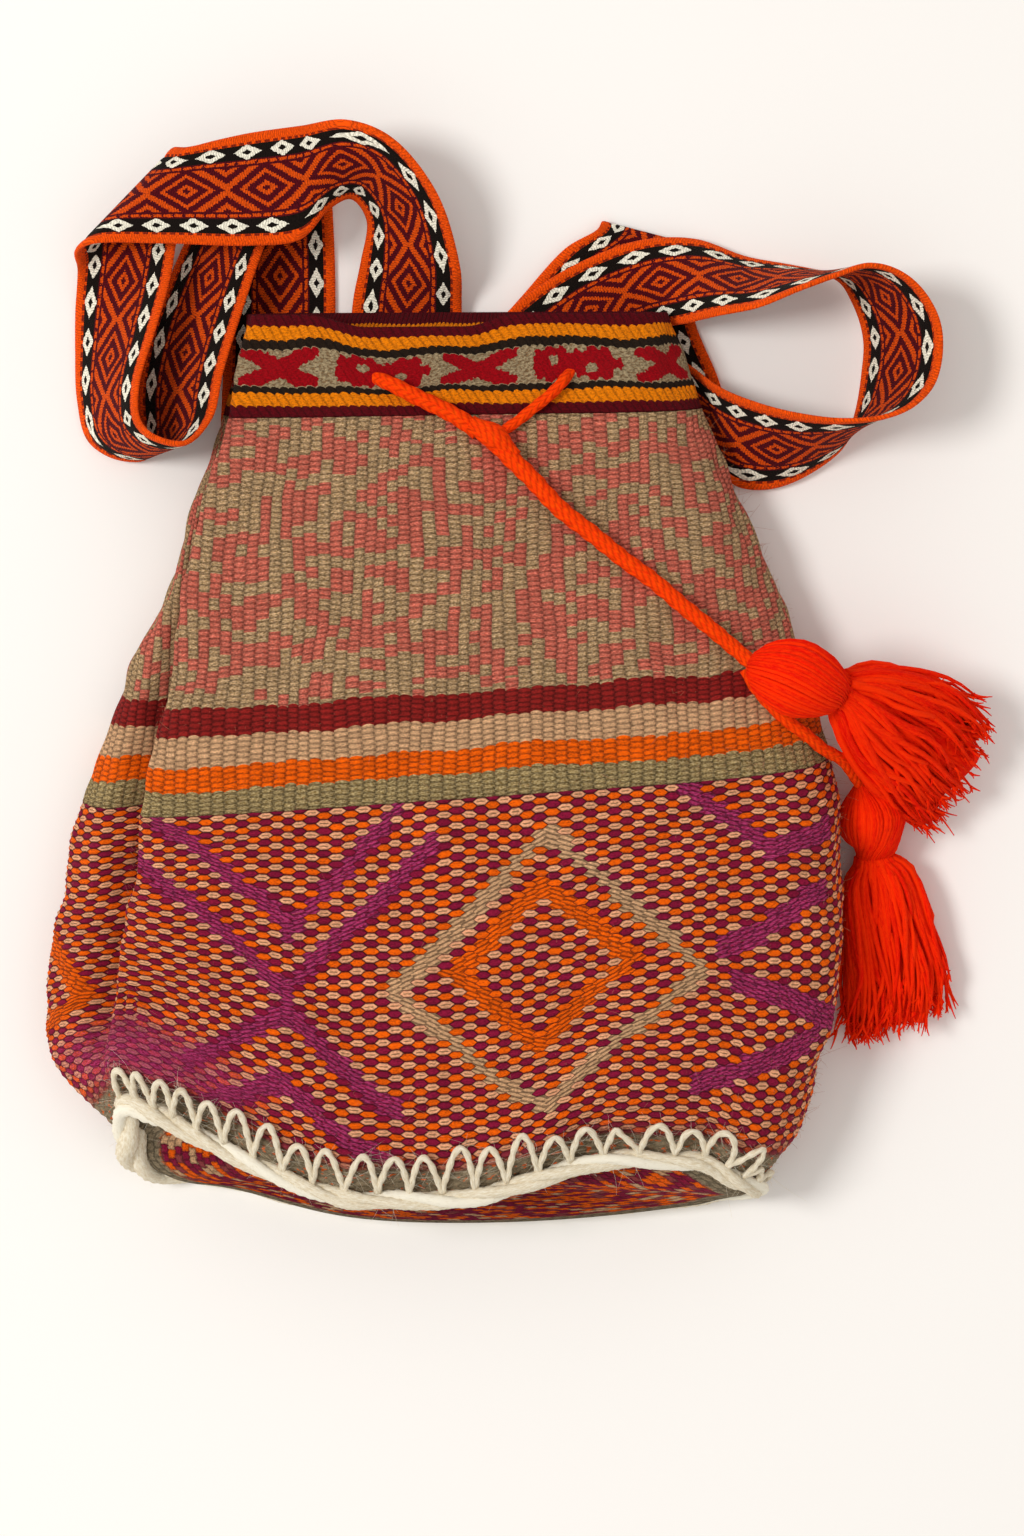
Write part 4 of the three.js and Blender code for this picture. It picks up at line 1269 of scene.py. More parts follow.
@dataclass
class BagCloth:
    """The bag's tube in two weaves, the band round its mouth and the oval base, in millimetres."""

    cloth: float = 4.0
    band_cloth: float = 3.6
    base_cloth: float = 4.0
    base_lip: float = 5.0
    bulge: float = 1.0
    gap: float = 0.3
    rib_relief: float = 0.42
    dot_relief: float = 0.7
    band_relief: float = 0.3
    hump: tuple = (0.0, 0.8, 1.0, 0.8)
    astray: tuple = ((0.7, 1, 60.0), (0.16, 2, 14.0))
    uneven: tuple = ((0.5, 3, 60.0), (0.12, 4, 12.0))
    dents: tuple = ((0.9, 5, 70.0), (0.4, 6, 24.0))

    def build(self) -> list[bpy.types.Object]:
        """Makes and dresses the four pieces of cloth.

        Returns:
            The lower and upper cloth, the band and the base.
        """
        lower = settle(self.tube(Zone.LOWER), BirdsEyeCloth().material(), "bag_wool", "body_cloth")
        upper = settle(self.tube(Zone.UPPER), MazeCloth().material(), "bag_wool", "body_cloth")
        band = settle(self.band(), BandCloth().material(), "band_wool", "mouth_band")
        base = settle(self.base(), BaseCloth().material(), "base_wool", "base_panel")
        return [lower, upper, band, base]

    @staticmethod
    def stations(v: Array) -> Array:
        """Stations at weave heights."""
        station, up = FORM.height()
        return np.interp(v, up, station)

    def even_stations(self, turn: Array, v: Array) -> Array:
        """Stations at weave heights, with the rows spread evenly between the stripes and the seam.

        Where the seam climbs by c, a row at v stands c(1 - seam weight) + v(1 - c / split) up the front's
        middle.

        Args:
            turn: Shares of the way round.
            v: Weave heights, of the same shape.

        Returns:
            Stations.
        """
        climb = FORM.climb(turn) * (v < WEAVE.split)
        station = self.stations(v)
        for _ in range(8):
            station = self.stations(v * (1 - climb / WEAVE.split) + climb * (1 - FORM.at("seam", station)))
        return station

    def wall(self, name: str, u: Array, v: Array, relief: Array, inset: float) -> bpy.types.Object:
        """Closes one length of tube: an outer face with relief, a plain inner one and the rims between them.

        Args:
            name: Name of the piece.
            u: Weave millimetres of the columns, with the closing one added.
            v: Weave millimetres of the rows.
            relief: Height of the weave at each row and column.
            inset: Thickness of the cloth.

        Returns:
            The object.
        """
        outer = self.face(u[:-1], v, 0.0, relief)
        v_in = np.linspace(v[0], v[-1], max(int((v[-1] - v[0]) / 12), 4))
        inner = self.face(u[:-1], v_in, inset, np.zeros((len(v_in), len(u) - 1)))
        grid = np.concatenate([outer, inner[::-1]])
        faces, place = Fabric.quads(*grid.shape[:2], loop_rows=True)
        height = np.concatenate([v, v_in[::-1], v[:1]])
        uvs = np.stack([u[place[..., 1]], height[place[..., 0]]], axis=-1)
        return Fabric.mesh(name, grid.reshape(-1, 3), faces, uvs)

    def face(self, u: Array, v: Array, inset: float, relief: Array) -> Array:
        """One face of the cloth, with the unevenness of hand weaving.

        Rows and columns stray a little, less toward the seams, the whole cloth is softly dented, and it lies
        flat where it meets the floor.

        Args:
            u: Weave millimetres of the columns.
            v: Weave millimetres of the rows.
            inset: How far inside the outer face.
            relief: Height of the weave at each row and column.

        Returns:
            Points, with axes row, column and xyz.
        """
        at_u, at_v = np.meshgrid(u, v)
        inner_u = smooth(at_u, 0, 40) * (1 - smooth(at_u, WEAVE.girth - 40, WEAVE.girth))
        inner_v = smooth(at_v, v[0], v[0] + 10) * (1 - smooth(at_v, v[-1] - 10, v[-1]))
        astray, uneven, dent = (
            sum(size * wander(at_u, at_v, seed, reach) for size, seed, reach in waves)
            for waves in (self.astray, self.uneven, self.dents)
        )
        turn = FORM.columns(at_u + inner_u * astray - WEAVE.front, self.stations(v))
        station = self.even_stations(turn, at_v + inner_v * uneven)
        out = FORM.outward(turn, station)
        points = FORM.spots(turn, station, inset) + (relief + dent * inner_u * inner_v)[..., None] * out
        points[..., 2] = np.maximum(points[..., 2], 0.0)
        return points

    def tube(self, zone: Zone) -> bpy.types.Object:
        """One of the two weaves of the tube.

        Upper: ribs r = a(0, 0.8, 1, 0.8) across each rib.
        Lower: dots r = b(0, 0.8, 1, 0.8)(0, 1) across each cell of the bird's eye, bonded like bricks.

        Args:
            zone: Which weave.

        Returns:
            The object.
        """
        if zone is Zone.UPPER:
            u, ribs = self.ribs(WEAVE.rib)
            rows = round((WEAVE.collar - WEAVE.split) / WEAVE.bar)
            v = np.linspace(WEAVE.split, WEAVE.collar, rows + 1)
            v[-1] -= self.gap
            relief = np.tile(self.rib_relief * (ribs - 0.7), (rows + 1, 1))
            return self.wall("upper_cloth", u, v, relief, self.cloth)
        u, dots = self.ribs(WEAVE.dot)
        rows = 2 * round(WEAVE.split / WEAVE.row)
        v = np.linspace(0, WEAVE.split, rows + 1)
        bond = (np.arange(rows + 1)[:, None] + np.arange(len(dots)) // len(self.hump)) % 2
        return self.wall("lower_cloth", u, v, self.dot_relief * (dots * bond - 0.4), self.cloth)

    def ribs(self, pitch: float) -> tuple[Array, Array]:
        """Columns of a ribbed cloth.

        Args:
            pitch: Width of a rib.

        Returns:
            Weave millimetres of the columns, with the closing one added, and the height of the rib at each.
        """
        ribs = round(WEAVE.girth / pitch)
        return np.linspace(0, WEAVE.girth, len(self.hump) * ribs + 1), np.tile(self.hump, ribs)

    def band(self) -> bpy.types.Object:
        """The band above the tube, ribbed like the upper weave but flatter along its figures.

        Returns:
            The object.
        """
        u, ribs = self.ribs(WEAVE.rib)
        v = np.linspace(WEAVE.collar, WEAVE.top, 44)
        plain = np.where(np.abs(v - WEAVE.collar - 20.6) < 8.4, 0.35, 1.0)[:, None]
        return self.wall("band_cloth", u, v, self.band_relief * plain * (ribs - 0.6), self.band_cloth)

    def base(self) -> bpy.types.Object:
        """The oval that closes the foot: rings from its hub out, over the rim and back.

        The middle is bulged downward by 1 - share^2 of the way from the hub to the lip.

        Returns:
            The object.
        """
        turn = np.linspace(0, 1, 240, endpoint=False)
        rim, lip = (FORM.spots(turn, np.zeros_like(turn), inset) for inset in (self.gap, self.base_lip))
        down = np.array([0.0, -1.0, 0.0])
        share = np.linspace(0.03, 1, 16)[:, None, None]
        bowl = between(lip.mean(axis=0), lip, share) + down * self.bulge * (1 - share**2)
        deep = self.gap + self.base_cloth
        edge = [rim + down * (deep - 1.6), (2 * rim + lip) / 3 + down * 1.4, rim + down * self.gap]
        grid = np.concatenate([bowl + down * deep, edge, (bowl + down * self.gap)[::-1]])
        inward = np.linalg.norm(np.diff(grid, axis=0), axis=2).mean(axis=1)
        away = np.abs(np.concatenate([[0.0], np.cumsum(inward)]) - inward[:len(share) + 1].sum())
        return Fabric.lofts("base_cloth", grid[None], np.append(lengths(rim), 0.0), away[:, None])


@dataclass
class SeamStitching:
    """Cream yarn over the foot's seam: a chain along it and round arches up the cloth, in millimetres."""

    arch_yarn: float = 3.3
    count: int = 47
    chain_reach: float = 3.05
    arch_height: float = 2.65
    foot: float = 0.02
    reach: float = 1.0
    clear: float = 3.4
    strands: int = 3
    strand: float = 5.6
    strand_off: float = 2.1
    lay: float = 84.0
    bunch: float = 0.75
    chain_points: int = 88
    climb: tuple = ((0.0, 0.0), (0.05, 0.22), (0.16, 0.54), (0.31, 0.86), (0.5, 1.0), (0.69, 0.86),
                    (0.84, 0.54), (0.95, 0.22))

    def build(self) -> list[bpy.types.Object]:
        """Makes and dresses the chain and the arches."""
        yarn = Yarn("cream_yarn", Dye.STITCH, Dye.STITCH_DEEP).material()
        return [settle(self.chain(), yarn, "stitch_yarn", "seam_chain"),
                settle(self.arches(), yarn, "stitch_yarn", "seam_arches")]

    @staticmethod
    def closed(points: Array, step: float) -> Array:
        """Even path round a closed run of points, starting at the back."""
        loop = np.roll(points, -(len(points) // 2), axis=0)
        return even_path(np.vstack([loop, loop[:1]]), step)

    def chain(self) -> bpy.types.Object:
        """Three soft strands laid round one another along the seam: each circles the middle once in 84 mm.

        They swell and thin a little along their run, and are fattest at the bunched lower left corner.

        Returns:
            The object.
        """
        path = self.closed(self.chain_spots(), 1.2)
        side, other = Fabric.frames(path[None])
        run = lengths(path)
        strand = np.arange(self.strands)[:, None]
        angle = 2 * np.pi * (round(run[-1] / self.lay) * run / run[-1] + strand / self.strands)
        off = side * np.cos(angle)[..., None] + other * np.sin(angle)[..., None]
        bunch = self.bunch * bell(path[:, 0], -146, 16) * bell(path[:, 1], -178, 20)
        swell = 1 + 0.07 * wander(run[None], YARN_APART * strand, 7, 18.0) + bunch
        paths = path + self.strand_off * (1 + bunch)[:, None] * off
        return Fabric.yarns("chain_stitch", paths, self.strand / 2 * swell, sides=10, twist=0.05, plies=4,
                            depth=0.22)

    def arches(self) -> bpy.types.Object:
        """One two-ply yarn up and down through all the arches."""
        path = self.closed(self.arch_spots(), 0.9)
        return Fabric.yarns("arch_stitch", path[None], np.array(self.arch_yarn / 2), sides=12, twist=0.07,
                            plies=2, depth=0.4)

    def chain_spots(self) -> Array:
        """Points of the chain at even arc length round the foot, the first at the front's middle.

        Returns:
            The points.
        """
        turn = np.linspace(0, 1, 2401)
        run = lengths(FORM.spots(turn, np.zeros_like(turn)))
        return self.beside(np.interp(np.arange(self.chain_points) / self.chain_points * run[-1], run, turn))

    def beside(self, turn: Array) -> Array:
        """Points where the chain lies, level with the seam and clear of the cloth.

        Args:
            turn: Shares of the way round.

        Returns:
            The points.
        """
        none = np.zeros_like(turn)
        out = FORM.outward(turn, none)
        level = unit(out * np.array([1.0, 0.0, 1.0]))
        spot = FORM.spots(turn, none) + level * self.chain_reach
        drop = self.chain_reach * (1 - np.sum(out * level, axis=-1))
        spot[:, 1] += np.where(out[:, 1] < 0, drop / np.minimum(out[:, 1], -1e-6), 0.0)
        return spot

    def arch_spots(self) -> Array:
        """Eight points for each arch: two feet beside the next one's and a round top.

        The arches stand closer at both corners. They are taller at the left end of the front, lower at its
        right end and lowest round the back.

        Returns:
            The points, arch after arch.
        """
        run = np.linspace(0, 1, 2401)
        close = 1 + 0.8 * (bell(run, 0.15, 0.035) + bell(run, 0.87, 0.025)) - 0.2 * bell(run, 0.1, 0.04)
        mm = np.cumsum(np.diff(lengths(FORM.spots(run, np.zeros_like(run))), prepend=0.0) * close)
        along, rise = np.array(self.climb).T
        lean = np.random.default_rng(9).uniform(-0.1, 0.1, (self.count, 1)) * rise
        share = (np.arange(self.count)[:, None] + along + lean).ravel() / self.count
        turn = np.interp(share * mm[-1], mm, run)
        low = self.foot_stations(turn)
        tall = np.repeat(np.random.default_rng(4).uniform(0.86, 1.06, self.count), len(rise)) * self.reach
        tall = tall * (1 - 0.6 * smooth(turn, 0.145, 0.175) * (1 - smooth(turn, 0.82, 0.86)))
        x = FORM.spots(turn, np.zeros_like(turn))[:, 0]
        tall = tall * (1 + 0.35 * smooth(-x, 60, 122) * smooth(turn, 0.8, 0.86))
        tall = tall * (1 - 0.16 * smooth(x, 40, 80) * (1 - smooth(turn, 0.15, 0.18)))
        return self.upright(turn, low + np.tile(rise, self.count) * np.maximum(tall - low, 0.1))

    def upright(self, turn: Array, station: Array) -> Array:
        """Points above the cloth, moved along the flat front until they stand over their own foot.

        Args:
            turn: Shares of the way round.
            station: Stations, of the same shape.

        Returns:
            The points.
        """
        foot, spot = FORM.spots(turn, np.zeros_like(turn)), FORM.spots(turn, station)
        following = FORM.spots(turn + 0.01, station)
        x = foot[:, 0]
        flat = smooth(x, -140, -115) * (1 - smooth(x, 105, 130))
        ahead = following[:, 0] - spot[:, 0]
        safe = np.where(np.abs(ahead) < 1e-6, 1e-6, ahead)
        moved = turn - flat * 0.01 * (spot[:, 0] - x) / safe
        return FORM.above(moved, station, self.arch_height)

    def foot_stations(self, turn: Array) -> Array:
        """Lowest station of each point of the arches that stays clear of the chain, found in even steps.

        Args:
            turn: Shares of the way round.

        Returns:
            The stations.
        """
        chain = self.beside(turn)
        found = np.full_like(turn, 1.0)
        for station in np.arange(self.foot, 1.0, 0.03)[::-1]:
            away = np.linalg.norm(self.upright(turn, np.full_like(turn, station)) - chain, axis=-1)
            found = np.where(away >= self.clear, station, found)
        return found


@dataclass
class Fuzz:
    """Loose fibres that stand off the wool, in millimetres: each a curved hair from its root outward."""

    hair: float = 0.07
    steps: int = 5

    def build(self) -> list[bpy.types.Object]:
        """Makes and dresses the fuzz of the cloth and of the seam's yarn.

        Returns:
            Both pieces.
        """
        dull = Yarn("cloth_fuzz", Dye.FUZZ, Dye.FELT).material()
        pale = Yarn("cream_fuzz", Dye.STITCH, Dye.STITCH_DEEP).material()
        return [settle(self.cloth(4200), dull, "bag_wool", "body_cloth"),
                settle(self.seam(2600), pale, "stitch_yarn", "seam_arches")]

    def cloth(self, count: int) -> bpy.types.Object:
        """Hairs over the front and sides of the tube.

        Args:
            count: How many.

        Returns:
            The object.
        """
        rng = np.random.default_rng(21)
        turn, station = rng.uniform(-0.28, 0.28, count), rng.uniform(0.3, 8.9, count)
        return self.hairs("cloth_fuzz", FORM.spots(turn, station), FORM.outward(turn, station), 1.5, rng)

    def seam(self, count: int) -> bpy.types.Object:
        """Hairs off the arches and the chain along the front.

        Args:
            count: How many.

        Returns:
            The object.
        """
        rng = np.random.default_rng(22)
        stitching = SeamStitching()
        routes = np.vstack([stitching.closed(stitching.arch_spots(), 0.6),
                            stitching.closed(stitching.chain_spots(), 0.5)])
        front = routes[(routes[:, 2] > 30) & (routes[:, 1] < -120)]
        roots = front[rng.integers(0, len(front), count)]
        return self.hairs("seam_fuzz", roots, unit(rng.normal(0, 1, (count, 3)) + [0, 0, 0.4]), 2.6, rng)

    def hairs(self, name: str, roots: Array, out: Array, long: float,
              rng: np.random.Generator) -> bpy.types.Object:
        """Sweeps hairs from roots, outward and then astray.

        Args:
            name: Name of the piece.
            roots: Where each starts.
            out: Which way each starts.
            long: Typical length.
            rng: Source of the strays.

        Returns:
            The object.
        """
        share = np.linspace(0, 1, self.steps)[None, :, None]
        count = len(roots)
        size = long * rng.gamma(3.0, 0.33, (count, 1, 1))
        stray = rng.normal(0, 0.9, (count, 1, 3)) * share + rng.normal(0, 0.7, (count, 1, 3)) * share**2
        paths = roots[:, None] + (out[:, None] * share * 0.8 + stray) * size
        paths[..., 2] = np.maximum(paths[..., 2], 0.4)
        return Fabric.yarns(name, paths, self.hair * (1 - 0.5 * share[..., 0]), sides=3)


@dataclass
class Strap:
    """One woven band, ruled between its two edges, with rolled borders, in millimetres.

    Each station is the lower edge's place, the heading and lift in degrees toward the other edge, and the
    share of the full width.
    """

    name: str
    node: str
    stations: Sequence[tuple]
    width: float = 54.0
    cloth: float = 2.6
    step: float = 1.5
    section: tuple = ((0.0, 0.0), (0.008, 0.75), (0.03, 1.2), (0.06, 1.2), (0.085, 0.9), (0.1, 0.55),
                      (0.115, 0.9), (0.14, 1.05), (0.2, 1.05), (0.26, 1.05), (0.32, 1.05), (0.38, 1.05),
                      (0.44, 1.05), (0.5, 1.05))
    flat: float = field(default=0.0, init=False)

    def build(self, material: bpy.types.Material) -> bpy.types.Object:
        """Args:
            material: The finish of both straps.

        Returns:
            The strap.
        """
        piece = settle(self.ribbon(), material, "strap_wool", self.node)
        LOG.info("%s: %.0f mm long", self.name, self.flat)
        return piece

    def edges(self) -> tuple[Array, Array]:
        """Both edges at even steps along the middle of the strap.

        Returns:
            Points of the lower edge and of the other one.
        """
        table = np.array(self.stations, float)
        heading, lift = np.radians(table[:, 3]), np.radians(table[:, 4])
        level = np.cos(lift)
        across = np.stack([level * np.cos(heading), level * np.sin(heading), np.sin(lift)], axis=-1)
        low = table[:, :3]
        high = low + self.width * table[:, 5:] * across
        fine = np.linspace(0, 1, 80 * len(table))
        run = lengths((open_curve(low, fine) + open_curve(high, fine)) / 2)
        self.flat = float(run[-1])
        shares = np.interp(np.linspace(0, run[-1], int(run[-1] / self.step) + 1), run, fine)
        return open_curve(low, shares), open_curve(high, shares)

    def ribbon(self) -> bpy.types.Object:
        """Sweeps the section along the ruling, thick at the rolled edges and thin between.

        Across the strap the half thickness is that of a round bead of 5 mm at each edge, a groove beside it
        and plain cloth between.

        Returns:
            The object.
        """
        low, high = self.edges()
        share, thick = np.array(self.section).T
        share = np.concatenate([share, 1 - share[-2::-1]])
        thick = np.concatenate([thick, thick[-2::-1]])
        around = np.concatenate([share, share[-2:0:-1]])
        side = np.concatenate([thick, -thick[-2:0:-1]]) * self.cloth / 2 / thick.max()
        along = unit(np.gradient(low, axis=0)) + unit(np.gradient(high, axis=0))
        normal = unit(np.cross(high - low, along))
        flat = between(low[:, None], high[:, None], around[None, :, None])
        grid = flat + side[None, :, None] * normal[:, None]
        rows, cols = grid.shape[:2]
        faces, place = Fabric.quads(rows, cols)
        middle = (low + high) / 2
        skew = np.sum((high - low) * unit(np.gradient(middle, axis=0)), axis=-1)
        closed = np.append(around, around[0])
        run = lengths(middle)[:, None] + (closed - 0.5) * skew[:, None]
        uvs = np.stack([run[place[..., 0], place[..., 1]], closed[place[..., 1]] * self.width], axis=-1)
        tris = self.ends(rows, cols)
        return Fabric.mesh(self.name, grid.reshape(-1, 3), faces[:, ::-1], uvs[:, ::-1], tris[:, ::-1])

    @staticmethod
    def ends(rows: int, cols: int) -> Array:
        """Triangles that close both ends of the section, from its upper run across to its lower one.

        Args:
            rows: Sections along the strap.
            cols: Points round a section.

        Returns:
            Corner numbers, without the triangles that shrink to a line at the edges.
        """
        k = np.arange(cols // 2)
        here, next_one = (cols - k) % cols, cols - k - 1
        first = np.stack([k, here, next_one, k + 1], axis=-1)
        last = np.stack([k, k + 1, next_one, here], axis=-1) + (rows - 1) * cols
        caps = np.concatenate([first, last])
        tris = np.concatenate([caps[:, [0, 1, 2]], caps[:, [0, 2, 3]]])
        return tris[(tris != np.roll(tris, 1, axis=1)).all(axis=1)]


@dataclass
class Tassel:
    """A bundle of loose yarn with a round head, a bound neck and a spread skirt, in millimetres.

    Each station is the middle's x, y and z, the half width across and the half height.
    """

    name: str
    stations: Sequence[tuple]
    seed: int
    neck: int = 4
    head_yarns: int = 60
    skirt_yarns: int = 300
    locks: int = 46
    yarn: float = 3.0
    binding: float = 1.6
    tips: Array = field(default=None, init=False)

    def build(self, yarn: bpy.types.Material) -> list[bpy.types.Object]:
        """Makes and dresses the bundle and its binding.

        Args:
            yarn: The finish of the loose yarn.

        Returns:
            The core, the head, the skirt, its fray and the binding.
        """
        loose = (self.core(), self.head(), self.skirt(), self.fray())
        made = [settle(piece, yarn, "cord_wool", self.name) for piece in loose]
        wound = settle(self.wound(), yarn, "cord_wool", f"{self.name}_binding")
        return [*made, wound]

    def sections(self, place: Array) -> tuple[Array, Array, Array, Array, Array]:
        """Reads the bundle at places along its stations.

        Args:
            place: Station numbers.

        Returns:
            Middle, direction across, direction up, half width and half height at each.
        """
        table = np.array(self.stations, float)
        near = (place, place - 0.02, place + 0.02)
        here, before, after = (np.stack([row_value(row, at) for row in table.T], axis=-1) for at in near)
        along = unit((after - before)[..., :3])
        side = unit(np.cross(along, np.array([0.0, 0.0, 1.0])))
        return here[..., :3], side, np.cross(side, along), here[..., 3], here[..., 4]

    def laid(self, place: Array, angle: Array, reach: Array) -> Array:
        """Points of the bundle at a place along, an angle round and a share of the way out."""
        middle, side, up, wide, tall = self.sections(place)
        return (middle + side * (wide * reach * np.cos(angle))[..., None]
                + up * (tall * reach * np.sin(angle))[..., None])

    def core(self) -> bpy.types.Object:
        """Solid middle of the bundle, a little inside its yarn.

        Returns:
            The object.
        """
        rows, cols, pitch = 40, 28, 1.2
        place = np.linspace(0, len(self.stations) - 1.35, rows)[:, None]
        angle = np.linspace(0, -2 * np.pi, cols, endpoint=False)[None]
        inside = np.where(place < self.neck, 0.93, 0.78 - 0.05 * (place - self.neck))
        grid = self.laid(*np.broadcast_arrays(place, angle, inside))
        return Fabric.lofts(f"{self.name}_core", grid[None], np.arange(cols + 1) * pitch,
                            np.arange(rows)[:, None] * pitch)

    def head(self) -> bpy.types.Object:
        """Yarn laid from the crown down to the neck over the round head.

        Returns:
            The object.
        """
        rng = np.random.default_rng(self.seed)
        place = np.linspace(0.05, self.neck + 0.1, 12)[None]
        angle = np.linspace(0, 2 * np.pi, self.head_yarns, endpoint=False)[:, None]
        angle = angle + 0.5 * np.sin(place * 0.8 + 0.4) + rng.uniform(-0.05, 0.05, (self.head_yarns, 1))
        reach = 0.97 + rng.uniform(-0.03, 0.03, (self.head_yarns, 1))
        paths = self.laid(*np.broadcast_arrays(place, angle, reach))
        size = np.clip(np.sin(np.pi * np.clip(place / self.neck, 0, 1)), 0.35, 1.0) * 1.25
        return Fabric.yarns(f"{self.name}_head", paths, size, sides=5)

    def skirt(self) -> bpy.types.Object:
        """Loose yarn from the neck to uneven ends, in locks, each with its own length, reach and wave.

        Its last points are kept for the fray.

        Returns:
            The object.
        """
        rng = np.random.default_rng(self.seed + 1)
        count, steps = self.skirt_yarns, 11
        last = len(self.stations) - 1
        share = np.linspace(0, 1, steps)[None]
        lock = rng.uniform(0, 2 * np.pi, self.locks)[rng.integers(0, self.locks, (count, 1))]
        end = last + 0.02 - rng.exponential(0.3, (count, 1)).clip(0, 1.8) - 0.35 * (1 - np.cos(lock))
        place = self.neck - 0.1 + share * (end - self.neck + 0.1)
        angle = lock + rng.normal(0, 0.2, (count, 1)) * (0.5 + share) + rng.normal(0, 0.1, (count, 1)) * share
        reach = np.sqrt(rng.uniform(0.25, 1.0, (count, 1))) * (1 + rng.normal(0, 0.07, (count, 1)) * share)
        paths = self.laid(*np.broadcast_arrays(place, angle, reach))
        wave = rng.uniform(0, 2 * np.pi, (count, 1, 3)) + share[..., None] * rng.uniform(3, 10, (count, 1, 3))
        paths = paths + np.sin(wave) * (0.15 + share**1.3)[..., None] * rng.gamma(2.0, 0.95, (count, 1, 1))
        paths[..., 2] = np.maximum(paths[..., 2], 1.3)
        size = self.yarn / 2 * (1.0 - 0.62 * share**4) * rng.uniform(0.8, 1.15, (count, 1))
        self.tips = paths[:, [-2, -1]]
        return Fabric.yarns(f"{self.name}_skirt", paths, size, sides=5)

    def fray(self) -> bpy.types.Object:
        """Three fine fibres past the end of every yarn of the skirt, parting as they go.

        Returns:
            The object.
        """
        rng = np.random.default_rng(self.seed + 2)
        ends = np.repeat(self.tips, 3, axis=0)
        count = len(ends)
        ahead = unit(ends[:, 1] - ends[:, 0])[:, None]
        share = np.linspace(0, 1, 6)[None, :, None]
        stray = rng.normal(0, 0.22, (count, 1, 3)) * share + rng.normal(0, 0.3, (count, 1, 3)) * share**2
        paths = ends[:, 1:] + (ahead * (share - 0.2) + stray) * rng.uniform(2.5, 7.0, (count, 1, 1))
        paths[..., 2] = np.maximum(paths[..., 2], 0.6)
        return Fabric.yarns(f"{self.name}_fray", paths, 0.72 * (1 - 0.7 * share[..., 0]), sides=4)

    def wound(self) -> bpy.types.Object:
        """Binding round the neck: an ellipse of two-ply yarn wound over itself.

        Returns:
            The object.
        """
        middle, side, up, wide, tall = self.sections(np.array([float(self.neck)]))
        angle = np.linspace(0, 2 * np.pi, 90)[:, None]
        path = middle + side * np.cos(angle) * (wide - 0.3) + up * np.sin(angle) * (tall - 0.3)
        return Fabric.yarns(f"{self.name}_wound", path[None], np.array(self.binding / 2), sides=12,
                            twist=0.12, plies=2, depth=0.35)


